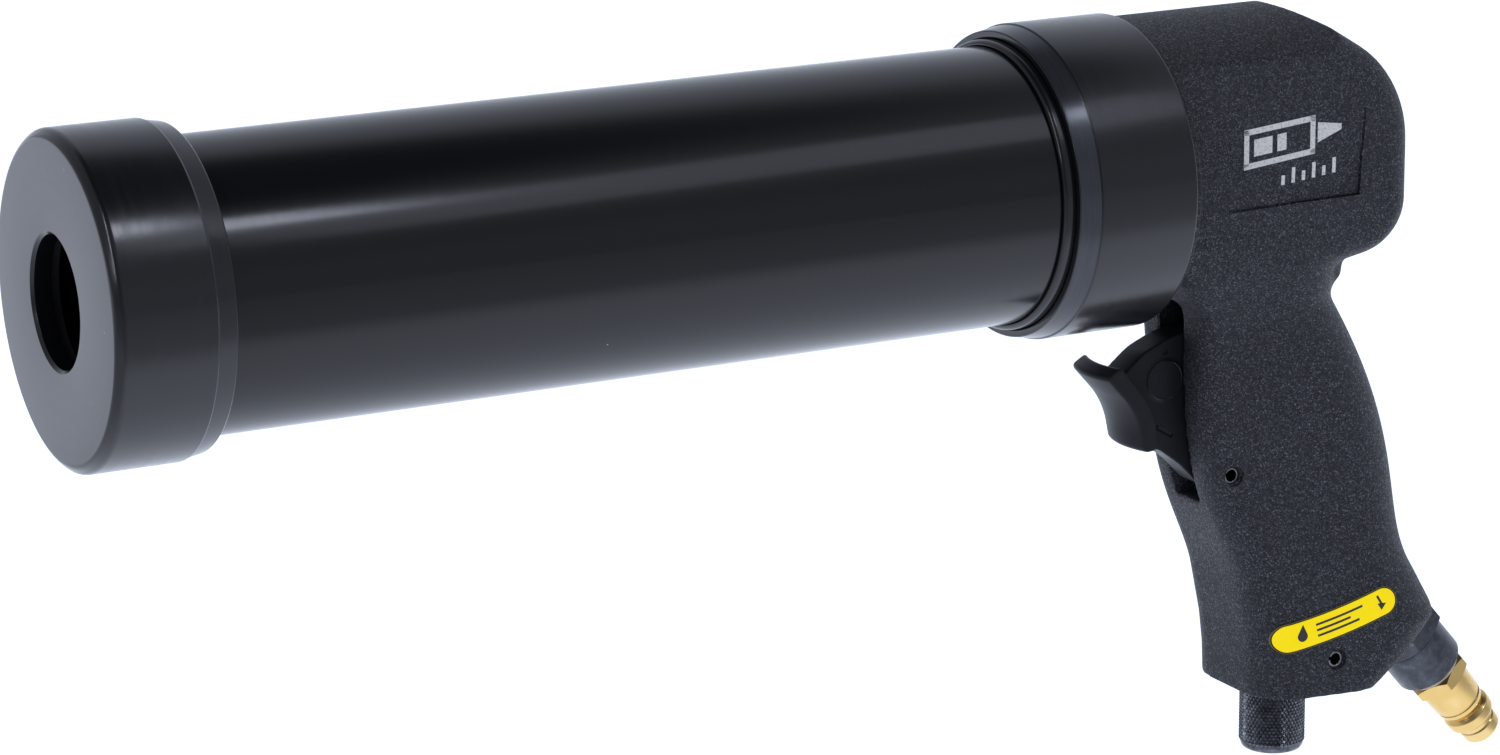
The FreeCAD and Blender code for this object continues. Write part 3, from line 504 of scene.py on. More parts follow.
def make_floor():
    """A wide pale table, lit from below, whose glow falls off towards the near side and on the left."""
    height = cad_box[0].z - FLOOR_DROP
    work = bmesh.new()
    corners = [(-1, -1), (1, -1), (1, 1), (-1, 1)]
    work.faces.new([work.verts.new((x * FLOOR_REACH, y * FLOOR_REACH, height)) for x, y in corners])
    floor = as_object("floor", work)
    material, tree, shader, place = finish("pale_floor", (0.86, 0.865, 0.875), 0.6)
    x, y, _ = add(tree, "ShaderNodeSeparateXYZ", {"Vector": place}).outputs
    glow = fade(tree, y, FLOOR_NEAR[1], FLOOR_NEAR[0], FLOOR_GLOW[1], FLOOR_GLOW[0])
    left = fade(tree, x, FLOOR_LEFT[0], FLOOR_LEFT[1], FLOOR_LEFT_SHADE, 1.0)
    far = fade(tree, y, FLOOR_FAR[0], FLOOR_FAR[1])
    feed(tree, shader, "Emission Strength", times(tree, glow, calculate(tree, "MAXIMUM", left, far)))
    shader.inputs["Emission Color"].default_value = (*COOL_LIGHT, 1.0)
    cloud = noise(tree, place, 3.0, 2.0)
    feed(tree, shader, "Base Color", mix(tree, cloud, (0.84, 0.845, 0.855), (0.88, 0.885, 0.895)))
    paint(floor, material)


def make_room():
    """Soft light from all round: bright behind and near the horizon, dim in front, dark overhead."""
    world = bpy.data.worlds.new("room")
    bpy.context.scene.world = world
    world.use_nodes = True
    tree = world.node_tree
    toward = add(tree, "ShaderNodeTexCoord").outputs["Generated"]
    x, y, z = add(tree, "ShaderNodeSeparateXYZ", {"Vector": toward}).outputs
    height = calculate(tree, "MAXIMUM", z, 0.0)
    behind = ramp(tree, height, [(0.0, 0.9), (0.31, 0.8), (0.54, 0.7), (0.74, 0.58), (0.8, 0.42),
                                 (0.87, 0.14), (0.92, 0.07)])
    before = ramp(tree, height, [(0.0, 0.42), (0.21, 0.45), (0.45, 0.36), (0.62, 0.5), (0.79, 0.5),
                                 (0.85, 0.32), (0.92, 0.07)])
    colour = mix(tree, fade(tree, y, *ROOM_BEHIND), before, behind)
    left = fade(tree, x, *ROOM_LEFT, ROOM_LEFT_SHADE, 1.0)
    shaded = add(tree, "ShaderNodeVectorMath", {0: colour, "Scale": left}, operation="SCALE")
    tinted = add(tree, "ShaderNodeVectorMath", {0: shaded.outputs["Vector"], 1: COOL_LIGHT},
                 operation="MULTIPLY")
    tree.links.new(tinted.outputs["Vector"], tree.nodes["Background"].inputs["Color"])


def make_softbox(name, place, target, width, depth, watts):
    data = bpy.data.lights.new(name, "AREA")
    data.shape = "RECTANGLE"
    data.size = width
    data.size_y = depth
    data.energy = watts
    data.color = COOL_LIGHT
    light = bpy.data.objects.new(name, data)
    bpy.context.scene.collection.objects.link(light)
    light.location = place
    light.rotation_mode = "QUATERNION"
    light.rotation_quaternion = (Vector(target) - Vector(place)).to_track_quat("-Z", "Y")
    light.visible_camera = False


make_floor()
make_room()
make_softbox("key", (0.95, -1.0, 1.28), (0.16, 0.0, -0.03), width=1.0, depth=0.5, watts=1.4)
make_softbox("glint", (0.78, -1.45, 2.13), BARREL_MIDDLE, width=0.36, depth=0.36, watts=4.0)
make_softbox("edge", (-1.1, -0.45, 0.75), BARREL_MIDDLE, width=0.07, depth=0.9, watts=3.0)


# ---------------------------------------------------------------- mesh helpers

def smooth(piece, sharp_above=35.0):
    piece.data.shade_smooth()
    piece.data.set_sharp_from_angle(angle=math.radians(sharp_above))


def settle(piece):
    """Turns the piece's modifiers into mesh."""
    depsgraph = bpy.context.evaluated_depsgraph_get()
    made = bpy.data.meshes.new_from_object(piece.evaluated_get(depsgraph))
    piece.modifiers.clear()
    piece.data = made


def outline(corners, steps):
    """Points along a closed outline of (along, out, round) corners, with the rounds as arcs."""
    points = []
    for index, (along, out, radius) in enumerate(corners):
        here = Vector((along, out))
        if not radius:
            points.append(here)
            continue
        to_last = (Vector(corners[index - 1][:2]) - here).normalized()
        to_next = (Vector(corners[(index + 1) % len(corners)][:2]) - here).normalized()
        half = to_last.angle(to_next) / 2
        centre = here + (to_last + to_next).normalized() * (radius / math.sin(half))
        start = here + to_last * (radius / math.tan(half)) - centre
        end = here + to_next * (radius / math.tan(half)) - centre
        for step in range(steps + 1):
            points.append(centre + start.lerp(end, step / steps).normalized() * radius)
    return points


def circle(radius, steps):
    """Points round a circle about the origin."""
    angles = [2 * math.pi * step / steps for step in range(steps)]
    return [Vector((radius * math.cos(angle), radius * math.sin(angle))) for angle in angles]


def revolve(work, points, segments, radius_at=None):
    """Sweeps a closed outline about X. radius_at(index, angle) may give a point its own (along, radius)."""
    rings = []
    for step in range(segments):
        angle = 2 * math.pi * step / segments
        column = []
        for index, (along, radius) in enumerate(points):
            if radius_at:
                along, radius = radius_at(index, angle)
            side = radius * math.sin(angle)
            up = radius * math.cos(angle)
            column.append(work.verts.new((along * MM, side * MM, up * MM)))
        rings.append(column)
    count = len(points)
    for step in range(segments):
        here = rings[step]
        there = rings[(step + 1) % segments]
        for index in range(count):
            following = (index + 1) % count
            work.faces.new((here[index], here[following], there[following], there[index]))
    bmesh.ops.remove_doubles(work, verts=work.verts, dist=1e-7)
    bmesh.ops.dissolve_degenerate(work, edges=work.edges, dist=1e-8)
    bmesh.ops.recalc_face_normals(work, faces=work.faces)


def turned(name, corners, segments=288, steps=7):
    work = bmesh.new()
    revolve(work, outline(corners, steps), segments)
    piece = as_object(name, work)
    smooth(piece)
    return piece


def stand_in(piece, body, slot, *nodes, material=None):
    """Finishes a piece: its material, the body that it rides on and the CAD nodes that it stands for.
    The material is its slot's, unless another is given."""
    paint(piece, material or SLOT_FINISHES[slot])
    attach(piece, body)
    if nodes:
        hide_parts(*nodes)


def reach(node):
    """A node's lowest and highest corners in millimetres."""
    low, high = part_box(node)
    return low / MM, high / MM


# ---------------------------------------------------------------- barrel, cap, collar and slip ring

def make_tube():
    low, high = reach("barrel_tube")
    outer = high.z
    wall = 1.5
    inner = outer - wall
    rounding = 0.35
    tube = turned("tube", [(low.x, inner, rounding), (low.x, outer, rounding),
                           (high.x, outer, rounding), (high.x, inner, rounding)])
    stand_in(tube, "barrel", "black_anodised_tube", "barrel_tube")


def make_cap():
    low, high = reach("front_cap")
    outer = high.z
    hole = 12.5
    bore = 28.1
    wall = 4.0
    cap = turned("cap", [
        (low.x + 0.6, hole, 0.1), (low.x, hole + 0.6, 0.1), (low.x, outer - 1.45, 1.6),
        (low.x + 1.45, outer, 1.6),
        (high.x - 4.3, outer, 0.5), (high.x - 4.0, outer - 0.3, 0.12), (high.x - 0.35, outer - 0.95, 0.3),
        (high.x, outer - 1.3, 0.2), (high.x, bore + 0.5, 0.2), (high.x - 0.5, bore, 0.2),
        (wall, bore, 0.4), (wall, hole, 0.3)])
    stand_in(cap, "cap", "black_turned_metal", "front_cap")


def make_collar():
    low, high = reach("union_collar")
    outer = high.z
    lip_bore = 29.35
    bore = 30.4
    shoulder = 205.5
    taper_front = low.x + 0.2
    taper_rear = low.x + 4.4
    collar = turned("collar", [
        (low.x, lip_bore, 0.3), (low.x, outer - 1.05, 0.35), (taper_rear, outer - 0.3, 0.1),
        (taper_rear + 0.3, outer, 0.4), (high.x, outer, 0.7), (high.x, bore, 0.3),
        (shoulder, bore, 0.15), (shoulder, lip_bore, 0.3)])
    stand_in(collar, "collar", "black_turned_metal", "union_collar")
    collar.data.materials.append(burnished_edge())
    for face in collar.data.polygons:
        middle = face.center / MM
        out = math.hypot(middle.y, middle.z)
        if taper_front < middle.x < taper_rear and out > bore:
            face.material_index = 1


def make_slip_ring():
    low, high = reach("collar_slip_ring")
    outer = high.z
    inner = 28.05
    ring = turned("slip_ring", [
        (low.x, inner, 0.2), (low.x, outer, 1.0), (high.x, outer, 0.3), (high.x, inner, 0.2)])
    stand_in(ring, "slip_ring", "slip_ring_plastic", "collar_slip_ring")


make_tube()
make_cap()
make_collar()
make_slip_ring()


# ---------------------------------------------------------------- casting

CASTING_VOXEL = 0.5
CASTING_ROUNDS = 4
HEAD_FRONT = 226.3
HEAD_HALF_WIDTH = 20.0
FOOT_TOP = -90.0
FOOT_HALF_WIDTH = 17.6
WAIST_HALF_WIDTH = 17.05
FLARE_FROM = 277.0
FLARE = 0.13
PIVOT = Vector((248.0, 0.0, -64.4))
LOWER_PIN = Vector((272.1, 0.0, -106.7))
PIN_RADIUS = 1.78
PIN_FILL_START = 8.0
PIN_RECESS_RADIUS = 2.3
PIN_RECESS_DEPTH = 0.45
PANEL = {"front": 240.3, "rear": 273.2, "base": -6.6, "height": 18.0, "depth": 0.6, "lean": 0.9}
PANEL_FILL_DEPTH = 1.5
GROOVE_RADIUS = 0.3
CUTTER_REACH = 30.0

# The blend where the grip grows out of the head: the heights between which it comes in and goes out, the
# stretch of X along which it comes in, and the slot's walls and rear end, which it leaves as they are.
WEB_ROUNDS = 60
WEB_BOTTOM = (-36.0, -30.0)
WEB_TOP = (-12.0, -17.0)
WEB_FRONT = (255.0, 263.0)
SLOT_HALF_WIDTH = 7.0
SLOT_REAR = 266.0


def copy_of(node):
    """A welded copy of a CAD node's mesh in a bmesh."""
    work = bmesh.new()
    work.from_mesh(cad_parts[node].data)
    bmesh.ops.remove_doubles(work, verts=work.verts, dist=1e-6)
    return work


def put_box(work, low, high):
    made = bmesh.ops.create_cube(work, size=1.0)["verts"]
    middle = (Vector(low) + Vector(high)) / 2 * MM
    extent = (Vector(high) - Vector(low)) * MM
    bmesh.ops.scale(work, vec=extent, verts=made)
    bmesh.ops.translate(work, vec=middle, verts=made)


def put_rod(work, start, end, radius, segments=48):
    along = Vector(end) - Vector(start)
    made = bmesh.ops.create_cone(work, cap_ends=True, segments=segments, radius1=radius * MM,
                                 radius2=radius * MM, depth=along.length * MM)["verts"]
    turn = along.to_track_quat("Z", "Y").to_matrix()
    bmesh.ops.rotate(work, matrix=turn, verts=made)
    bmesh.ops.translate(work, vec=(Vector(start) + Vector(end)) / 2 * MM, verts=made)


def remesh(piece, voxel):
    made = piece.modifiers.new("even_mesh", "REMESH")
    made.mode = "VOXEL"
    made.voxel_size = voxel * MM
    settle(piece)


def soften(piece, rounds, weight=None):
    """Rounds the edges off; weight(point), with the point in millimetres, says how much, from 0 to 1."""
    made = piece.modifiers.new("soften", "SMOOTH")
    made.factor = 0.5
    made.iterations = rounds
    if weight:
        group = piece.vertex_groups.new(name="soft")
        for vertex in piece.data.vertices:
            amount = weight(vertex.co / MM)
            if amount > 0:
                group.add([vertex.index], amount, "REPLACE")
        made.vertex_group = "soft"
    settle(piece)


def carve(piece, work, name):
    """Takes a closed cutter away from a piece."""
    cutter = as_object(name, work)
    made = piece.modifiers.new("carve", "BOOLEAN")
    made.operation = "DIFFERENCE"
    made.solver = "MANIFOLD"
    made.object = cutter
    settle(piece)
    bpy.data.objects.remove(cutter)


def rise(number, start, end):
    """0 up to start, 1 from end on, and straight between them; start may be the higher one."""
    return min(max((number - start) / (end - start), 0.0), 1.0)


def web_weight(point):
    """How strongly the casting is blended where the grip grows out of the head, at the rear."""
    if abs(point.y) <= SLOT_HALF_WIDTH and point.x <= SLOT_REAR:
        return 0.0
    return rise(point.z, *WEB_BOTTOM) * rise(point.z, *WEB_TOP) * rise(point.x, *WEB_FRONT)


def panel_wedge(side):
    """The cutter of one side's shallow panel, deepest at its lower rear corner."""
    flush = side * HEAD_HALF_WIDTH
    top = PANEL["base"] + PANEL["height"]
    floor = [(PANEL["front"], flush, PANEL["base"]),
             (PANEL["rear"], flush - side * PANEL["depth"], PANEL["base"]),
             (PANEL["rear"] + PANEL["lean"], flush, top)]
    outwards = Vector((0, side * 4, 0))
    work = bmesh.new()
    inner = [work.verts.new(Vector(corner) * MM) for corner in floor]
    outer = [work.verts.new((Vector(corner) + outwards) * MM) for corner in floor]
    work.faces.new(inner)
    work.faces.new(outer)
    for index in range(3):
        following = (index + 1) % 3
        work.faces.new((inner[index], inner[following], outer[following], outer[index]))
    bmesh.ops.recalc_face_normals(work, faces=work.faces)
    return work


def panel_edges(side):
    """The lines that a panel's lower and rear edges are scored along."""
    flush = side * HEAD_HALF_WIDTH
    top = PANEL["base"] + PANEL["height"]
    corner = (PANEL["rear"], flush - side * PANEL["depth"], PANEL["base"])
    return [((PANEL["front"] + 1, flush, PANEL["base"]), corner),
            (corner, (PANEL["rear"] + PANEL["lean"], flush, top))]


def grip_half_width(point):
    """Half the grip's width beside a pin: its foot is wider than its waist, and it widens to the rear."""
    half = FOOT_HALF_WIDTH if point.z < FOOT_TOP else WAIST_HALF_WIDTH
    return half + FLARE * (point.x - FLARE_FROM)


def fill_recesses(work):
    """Closes the CAD casting's side panels and pin holes, which are cut again once its edges are round.
    The fillings are a little larger than what they fill, and the pins' stop just under the surface."""
    for side in (-1, 1):
        low, high = sorted((side * (HEAD_HALF_WIDTH - PANEL_FILL_DEPTH), side * HEAD_HALF_WIDTH))
        put_box(work, (PANEL["front"] - 1, low, PANEL["base"] - 1),
                (PANEL["rear"] + 1.5, high, PANEL["base"] + PANEL["height"] + 0.5))
    for pin in (PIVOT, LOWER_PIN):
        for side in (-1, 1):
            outer = side * (grip_half_width(pin) - 0.05)
            put_rod(work, pin + Vector((0, side * PIN_FILL_START, 0)), pin + Vector((0, outer, 0)),
                    PIN_RADIUS + 0.1)


def carve_rod(piece, name, start, end, radius, segments=48):
    work = bmesh.new()
    put_rod(work, start, end, radius, segments)
    carve(piece, work, name)


def make_casting():
    """The head and grip with soft cast edges, behind the spigot, which is a piece of its own."""
    work = copy_of("pistol_body")
    fill_recesses(work)
    casting = as_object("casting", work)
    remesh(casting, CASTING_VOXEL)
    soften(casting, CASTING_ROUNDS)
    soften(casting, WEB_ROUNDS, web_weight)
    work = bmesh.new()
    put_box(work, (150, -60, -60), (HEAD_FRONT + 0.02, 60, 60))
    carve(casting, work, "front_cutter")
    for side in (-1, 1):
        carve(casting, panel_wedge(side), "panel_cutter")
        for start, end in panel_edges(side):
            carve_rod(casting, "groove_cutter", start, end, GROOVE_RADIUS, 16)
    beyond = Vector((0, CUTTER_REACH, 0))
    for pin in (PIVOT, LOWER_PIN):
        carve_rod(casting, "pin_cutter", pin - beyond, pin + beyond, PIN_RADIUS)
        for side in (-1, 1):
            inner = side * (grip_half_width(pin) - PIN_RECESS_DEPTH)
            carve_rod(casting, "recess_cutter", pin + Vector((0, inner, 0)), pin + side * beyond,
                      PIN_RECESS_RADIUS)
    smooth(casting, 40.0)
    stand_in(casting, "pistol", "coated_casting", "pistol_body")
    return casting


def make_spigot():
    """The threaded boss in front of the head, with its air plenum."""
    front = reach("pistol_body")[0].x
    core = 29.6
    crest = 30.3
    pitch = 2.0
    plenum = 20.0
    port = 2.5
    corners = [(front + 4.0, port), (front + 4.0, plenum), (front, plenum), (front, core - 0.6)]
    start = front + 0.6
    while start + pitch < HEAD_FRONT - 1.0:
        corners += [(start, core), (start + pitch * 0.4, crest), (start + pitch * 0.6, crest),
                    (start + pitch, core)]
        start += pitch
    corners += [(HEAD_FRONT, core), (HEAD_FRONT, port)]
    work = bmesh.new()
    revolve(work, corners, 192)
    spigot = as_object("spigot", work)
    smooth(spigot, 25.0)
    stand_in(spigot, "pistol", "coated_casting")


casting = make_casting()
make_spigot()


# ---------------------------------------------------------------- trigger

TRIGGER_VOXEL = 0.25
TRIGGER_ROUNDS = 7
PAD_REAR = (233.5, 231.5)
PAD_HALF_WIDTH = 7.1
PAD_CROWN = 1.5
TRIGGER_SLIT = ((231.6, -53.6), (235.6, -54.6), (239.2, -56.8))
SLIT_RADIUS = 0.55
SLIT_SIDE = 3.7
DIMPLE = (237.2, -38.6)
DIMPLE_RADIUS = 0.7
DIMPLE_SIDES = (3.2, 4.0)
BUTTON_HALF_WIDTH = 3.8
BUTTON_RING = (237.1, -44.6)
BUTTON_RING_RADIUS = 4.1
BUTTON_RING_WIRE = 0.14


def make_trigger():
    """The CAD lever with soft moulded edges and a finger pad that is rounded across its width."""
    trigger = as_object("trigger_lever", copy_of("trigger"))
    remesh(trigger, TRIGGER_VOXEL)
    for vertex in trigger.data.vertices:
        point = vertex.co / MM
        beyond = abs(point.y) / PAD_HALF_WIDTH
        vertex.co.x += PAD_CROWN * beyond * beyond * rise(point.x, *PAD_REAR) * MM
    soften(trigger, TRIGGER_ROUNDS)
    for side in (-1, 1):
        bends = [Vector((along, side * SLIT_SIDE, up)) for along, up in TRIGGER_SLIT]
        for start, end in zip(bends, bends[1:]):
            carve_rod(trigger, "slit_cutter", start, end, SLIT_RADIUS, 20)
        inner, outer = [Vector((DIMPLE[0], side * across, DIMPLE[1])) for across in DIMPLE_SIDES]
        carve_rod(trigger, "dimple_cutter", inner, outer, DIMPLE_RADIUS, 24)
    smooth(trigger, 50.0)
    stand_in(trigger, "trigger_lever", "trigger_plastic", "trigger")


def make_button_rings():
    """The thin raised ring round the button on each side of the trigger's web."""
    rim = [Vector((BUTTON_HALF_WIDTH, BUTTON_RING_RADIUS)) + point
           for point in circle(BUTTON_RING_WIRE, 8)]
    work = bmesh.new()
    for side in (-1, 1):
        ring = bmesh.new()
        revolve(ring, rim, 96)
        made = as_object("ring", ring)
        made.data.transform(Matrix.Translation(Vector((BUTTON_RING[0], 0, BUTTON_RING[1])) * MM)
                            @ Matrix.Rotation(side * math.pi / 2, 4, "Z"))
        work.from_mesh(made.data)
        bpy.data.objects.remove(made)
    rings = as_object("button_rings", work)
    smooth(rings, 60.0)
    stand_in(rings, "trigger_lever", "trigger_plastic", material=SLOT_FINISHES["slip_ring_plastic"])


make_trigger()
make_button_rings()


# ---------------------------------------------------------------- valve spring

def make_spring():
    """The valve's spring, with a mesh of its own, riding on the valve's body as one piece."""
    spring = as_object("spring", copy_of("valve_spring"))
    smooth(spring, 40.0)
    stand_in(spring, "valve", "steel", "valve_spring")
    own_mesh(spring)


make_spring()


# ---------------------------------------------------------------- roll pins

def make_roll_pin(name, node, middle, half_length):
    """A rolled spring pin across the grip: a tube with rounded ends and a slit to the front."""
    radius = 1.75
    bore = 1.25
    slit = 0.7
    pin = turned(name, [(-half_length, bore, 0.15), (-half_length, radius, 0.25),
                        (half_length, radius, 0.25), (half_length, bore, 0.15)], 96)
    pin.data.transform(Matrix.Translation(middle * MM) @ Matrix.Rotation(math.pi / 2, 4, "Z"))
    work = bmesh.new()
    put_box(work, middle - Vector((2 * radius, half_length + 1, 0)),
            middle + Vector((-bore / 2, half_length + 1, slit)))
    carve(pin, work, "slit_cutter")
    smooth(pin, 35.0)
    stand_in(pin, "pistol", "dark_steel", node)


make_roll_pin("pivot_pin", "trigger_pivot_pin", PIVOT, half_length=12.4)
make_roll_pin("lock_pin", "regulator_lock_pin", LOWER_PIN, half_length=16.6)


# ---------------------------------------------------------------- knob

KNURL_WIDTH = 0.98
KNURL_HEIGHT = 1.5
KNURL_DEPTH = 0.4


def make_knob():
    """The regulator's knob: a diamond knurl of small pyramids on a turned blank."""
    low, high = reach("regulator_knob")
    axis_x = (low.x + high.x) / 2
    outer = (high.x - low.x) / 2
    root = outer - KNURL_DEPTH
    base = low.z
    shoulder = -115.0
    shank = 5.0
    needle_bore = 1.56
    rounded = 1.1
    columns = 2 * round(2 * math.pi * outer / KNURL_WIDTH)
    knurl_base = base + 1.3
    knurl_top = shoulder - 0.5
    rows = 2 * round((knurl_top - knurl_base) / KNURL_HEIGHT)
    work = bmesh.new()

    def vertex(radius, column, height):
        angle = 2 * math.pi * column / columns
        return work.verts.new(Vector((radius * math.cos(angle), radius * math.sin(angle), height)) * MM)

    grid = []
    for row in range(rows + 1):
        height = knurl_base + (knurl_top - knurl_base) * row / rows
        inside = 0 < row < rows
        grid.append([vertex(outer if inside and (row + column) % 2 else root, column, height)
                     for column in range(columns)])
    for row in range(rows):
        for column in range(columns):
            right = (column + 1) % columns
            low_left, low_right = grid[row][column], grid[row][right]
            up_left, up_right = grid[row + 1][column], grid[row + 1][right]
            if (row + column) % 2:
                work.faces.new((low_left, low_right, up_left))
                work.faces.new((low_right, up_right, up_left))
            else:
                work.faces.new((low_left, low_right, up_right))
                work.faces.new((low_left, up_right, up_left))

    def cap(edge_ring, profile):
        """Closes one end of the knurl with rings of (radius, height) and a middle point."""
        last = edge_ring
        for radius, height in profile:
            ring = [vertex(radius, column, height) for column in range(columns)]
            for column in range(columns):
                right = (column + 1) % columns
                work.faces.new((last[column], last[right], ring[right], ring[column]))
            last = ring
        middle = work.verts.new((0, 0, profile[-1][1] * MM))
        for column in range(columns):
            work.faces.new((last[column], last[(column + 1) % columns], middle))

    cap(grid[0], [(root - rounded * (1 - math.cos(angle)), knurl_base - 0.15 - rounded * math.sin(angle))
                  for angle in [math.radians(15 * step) for step in range(7)]] + [(1.5, base + 0.02)])
    cap(grid[-1], [(root - 0.3, shoulder - 0.1), (root - 0.6, shoulder), (shank, shoulder),
                   (shank, high.z), (needle_bore, high.z)])
    bmesh.ops.recalc_face_normals(work, faces=work.faces)
    knob = as_object("knob", work)
    knob.location = (axis_x * MM, 0, 0)
    smooth(knob, 22.0)
    stand_in(knob, "knob", "knurled_knob", "regulator_knob")


make_knob()


# ---------------------------------------------------------------- air inlet

INLET = Vector((297.4, 0.0, -105.6))
INLET_ANGLE = math.radians(49.0)
HEX_SPIN = math.radians(15.0)
HEX_SEGMENTS = 192
HEX_CORNER = 1.147
HEX_CHAMFER = math.radians(32.0)


def hex_radius(angle, flats):
    """Radius of a hexagon at an angle, with its corners turned off a little."""
    sixth = math.pi / 3
    off = (angle - HEX_SPIN) % sixth - sixth / 2
    return min(flats / 2 / math.cos(off), flats / 2 * HEX_CORNER)


def with_hexagon(name, corners, first, flats, steps=5):
    """A piece turned about the inlet's slanting axis. The outline's corners first and first + 1, given as
    (along, radius of the chamfer at the end face, 0), run along a hexagon with chamfered ends."""
    points = []
    kinds = []
    ends = [Vector(corner[:2]) for corner in corners[first:first + 2]]
    for point in outline(corners, steps):
        if (point - ends[0]).length < 1e-6:
            points += [point, point]
            kinds += ["end face", "front of flat"]
        elif (point - ends[1]).length < 1e-6:
            points += [point, point]
            kinds += ["rear of flat", "end face"]
        else:
            points.append(point)
            kinds.append("turned")

    def radius_at(index, angle):
        along, radius = points[index]
        flat = hex_radius(angle, flats)
        chamfer = max(flat - radius, 0) * math.tan(HEX_CHAMFER)
        if kinds[index] == "front of flat":
            return along + chamfer, flat
        if kinds[index] == "rear of flat":
            return along - chamfer, flat
        if kinds[index] == "end face":
            return along, min(radius, flat)
        return along, radius

    work = bmesh.new()
    revolve(work, points, HEX_SEGMENTS, radius_at)
    piece = as_object(name, work)
    smooth(piece, 20.0)
    piece.matrix_world = Matrix.Translation(INLET * MM) @ Matrix.Rotation(INLET_ANGLE, 4, "Y")
    return piece


def make_bushing():
    hexagon = [(-3.35, 8.3, 0), (6.5, 8.2, 0)]
    bushing = with_hexagon("bushing", [
        (-12.0, 3.6, 0), (-12.0, 5.4, 0), (-11.4, 6.0, 0), (-3.4, 6.0, 0), *hexagon, (6.55, 7.45, 0),
        (6.9, 7.45, 0), (7.1, 7.7, 0.1), (16.3, 7.7, 0.35), (17.2, 6.9, 0.3), (17.2, 4.9, 0.1),
        (9.2, 4.9, 0), (9.2, 3.6, 0)], first=4, flats=16.5)
    stand_in(bushing, "pistol", "black_bushing", "inlet_bushing")


def make_plug():
    plug = with_hexagon("plug", [
        (9.5, 2.6, 0), (9.5, 4.9, 0), (17.9, 4.9, 0), (17.95, 6.1, 0), (21.4, 6.1, 0), (21.5, 5.85, 0),
        (28.3, 5.55, 0.2), (28.55, 5.15, 0.1), (28.85, 5.15, 0.1), (29.0, 5.4, 0.1), (30.1, 5.25, 0.3),
        (30.6, 4.1, 0.25), (31.1, 4.1, 0.2), (31.2, 4.6, 0.2), (32.1, 5.5, 0.6), (34.3, 5.5, 0.6),
        (35.2, 4.6, 0.2), (35.25, 4.1, 0.1), (36.4, 4.1, 0.1), (36.7, 4.4, 0.2), (39.0, 4.4, 0.6),
        (40.2, 3.3, 0.4), (40.2, 2.6, 0.1)], first=3, flats=12.6)
    stand_in(plug, "pistol", "brass", "air_plug")


make_bushing()
make_plug()


# ---------------------------------------------------------------- printed marks

INK_THICKNESS = 0.05
INK_CELL = 0.7
INK_ROUNDS = 3
NEAR_SIDE = -100.0 * MM


def strip(points, width):
    """Outline of a band of one width along a polyline of (x, z) points."""
    line = [Vector(point) for point in points]
    left = []
    right = []
    for index, point in enumerate(line):
        before = line[max(index - 1, 0)]
        after = line[min(index + 1, len(line) - 1)]
        across = (after - before).normalized().orthogonal() * (width / 2)
        left.append(point + across)
        right.append(point - across)
    return left + right[::-1]


def drop(middle, radius, tail, steps=24):
    """Outline of an oil drop that hangs from a point above its round belly."""
    tip = Vector(middle) + Vector((0, tail))
    arc = []
    for step in range(steps + 1):
        angle = math.radians(150 + 240 * step / steps)
        arc.append(Vector(middle) + Vector((math.cos(angle), math.sin(angle))) * radius)
    return [tip] + arc


def print_on(name, outlines, target, material, body, slot):
    """Thin ink that lies on a surface: each outline of (x, z) points is cut fine and laid on from -Y."""
    surface = BVHTree.FromObject(target, bpy.context.evaluated_depsgraph_get())
    work = bmesh.new()
    for points in outlines:
        work.faces.new([work.verts.new((point.x * MM, NEAR_SIDE, point.y * MM)) for point in points])
    bmesh.ops.triangulate(work, faces=work.faces)
    for _ in range(INK_ROUNDS):
        long_edges = [edge for edge in work.edges if edge.calc_length() > INK_CELL * MM]
        if long_edges:
            bmesh.ops.subdivide_edges(work, edges=long_edges, cuts=1)
            bmesh.ops.triangulate(work, faces=work.faces)
    for vertex in work.verts:
        place = surface.ray_cast(vertex.co, Vector((0, 1, 0)))[0]
        if place is not None:
            vertex.co = place - Vector((0, INK_THICKNESS * MM / 2, 0))
    made = bmesh.ops.extrude_face_region(work, geom=work.faces[:])["geom"]
    lifted = [item for item in made if isinstance(item, bmesh.types.BMVert)]
    bmesh.ops.translate(work, vec=(0, INK_THICKNESS * MM, 0), verts=lifted)
    bmesh.ops.recalc_face_normals(work, faces=work.faces)
    stand_in(as_object(name, work), body, slot, material=material)


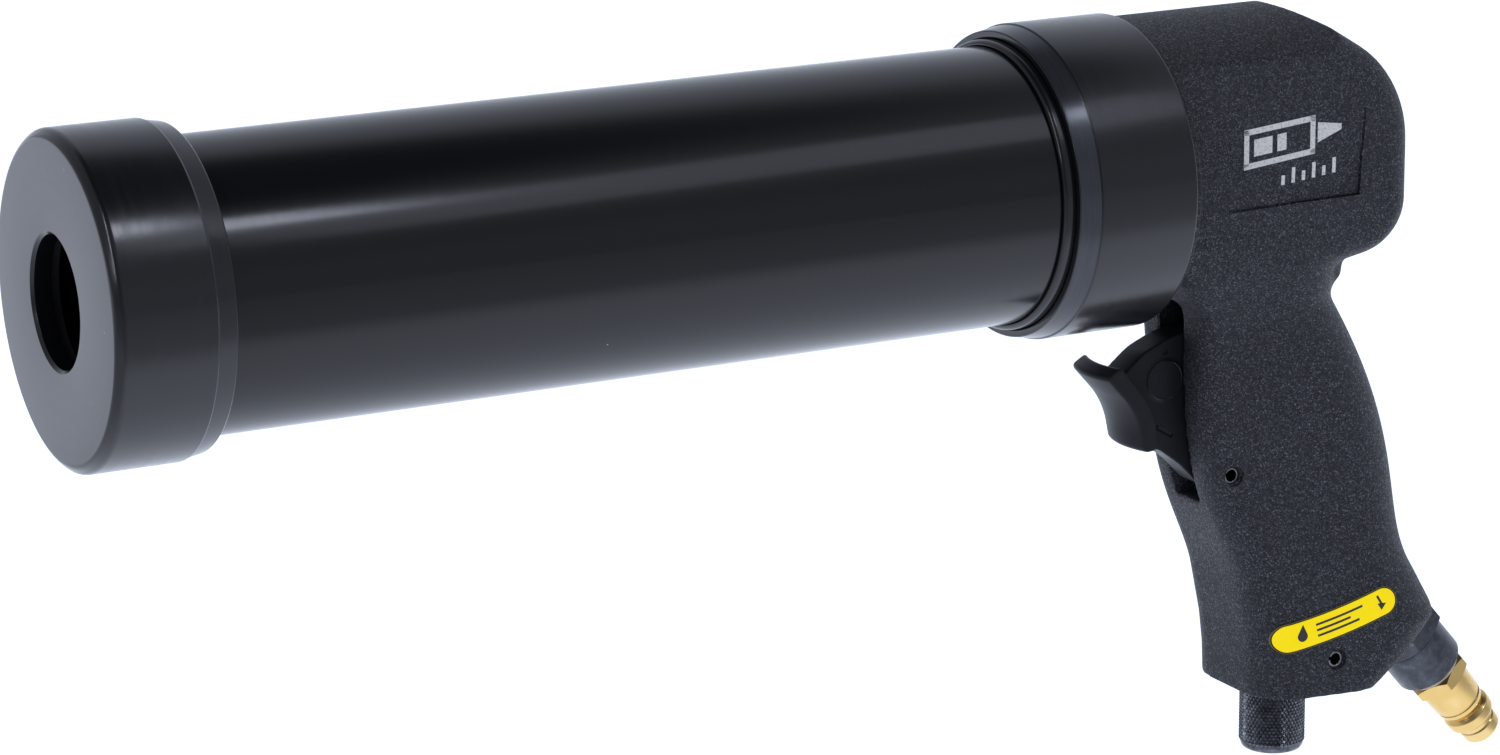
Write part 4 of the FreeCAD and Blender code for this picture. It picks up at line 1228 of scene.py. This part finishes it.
def cartridge_sign():
    """A plain sign of a cartridge with its nozzle, over a row of gauge marks, inside the panel."""
    middle = Vector((257.3, 5.4))

    def at(points):
        return [middle + Vector(point) for point in points]

    shapes = [
        strip(at([(-12.0, -3.3), (-12.0, 4.2)]), 1.2),
        strip(at([(-12.6, 3.7), (4.6, 5.2)]), 1.2),
        strip(at([(4.0, 5.7), (4.0, -2.1)]), 1.2),
        strip(at([(4.6, -1.6), (-12.6, -3.3)]), 1.2),
        at([(5.2, 4.2), (5.2, 0.0), (11.0, 2.2), (11.0, 3.4)]),
        at([(-10.2, -1.3), (-5.8, -0.9), (-5.8, 2.6), (-10.2, 2.2)]),
        at([(-4.6, -0.8), (-2.4, -0.6), (-2.4, 2.9), (-4.6, 2.7)]),
    ]
    for step in range(6):
        foot = Vector((-3.0 + 2.5 * step, -7.9 + 0.24 * step))
        tall = 3.2 if step % 2 else 2.0
        shapes.append(strip([middle + foot, middle + foot + Vector((0, tall))], 0.85))
    return shapes


def oil_sign():
    """A drop, three bars and an arrow that points down to the regulator."""
    cosine = math.cos(LABEL_TILT)
    sine = math.sin(LABEL_TILT)

    def at(along, across):
        """A place on the bent label: millimetres along its middle line and up from it."""
        angle = along / LABEL_BEND
        radius = LABEL_BEND - across
        flat = Vector((radius * math.sin(angle), LABEL_BEND - radius * math.cos(angle)))
        return Vector((LABEL_MIDDLE[0] + flat.x * cosine - flat.y * sine,
                       LABEL_MIDDLE[1] + flat.x * sine + flat.y * cosine))

    shapes = []
    start = -4.6
    for row, end in ((1.25, 6.6), (0.0, 3.4), (-1.25, 5.2)):
        shapes.append(strip([at(start + (end - start) * step / 8, row) for step in range(9)], 0.5))
    shapes.append(drop(at(-8.0, -0.3), 1.15, 2.6))
    tip = at(10.4, -1.6)
    top = at(10.4, 1.8)
    shapes.append(strip([top, tip + Vector((0, 1.3))], 0.5))
    shapes.append([tip, tip + Vector((1.0, 1.5)), tip + Vector((-1.0, 1.5))])
    return shapes


print_on("panel_sign", cartridge_sign(), casting,
         print_ink("panel_ink", (0.78, 0.76, 0.71), (0.34, 0.34, 0.33), 0.4), "pistol", "coated_casting")
print_on("label_sign", oil_sign(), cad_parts["oiling_label"],
         print_ink("label_ink", (0.02, 0.02, 0.015), (0.06, 0.055, 0.02), 0.4), "pistol", "label_film")
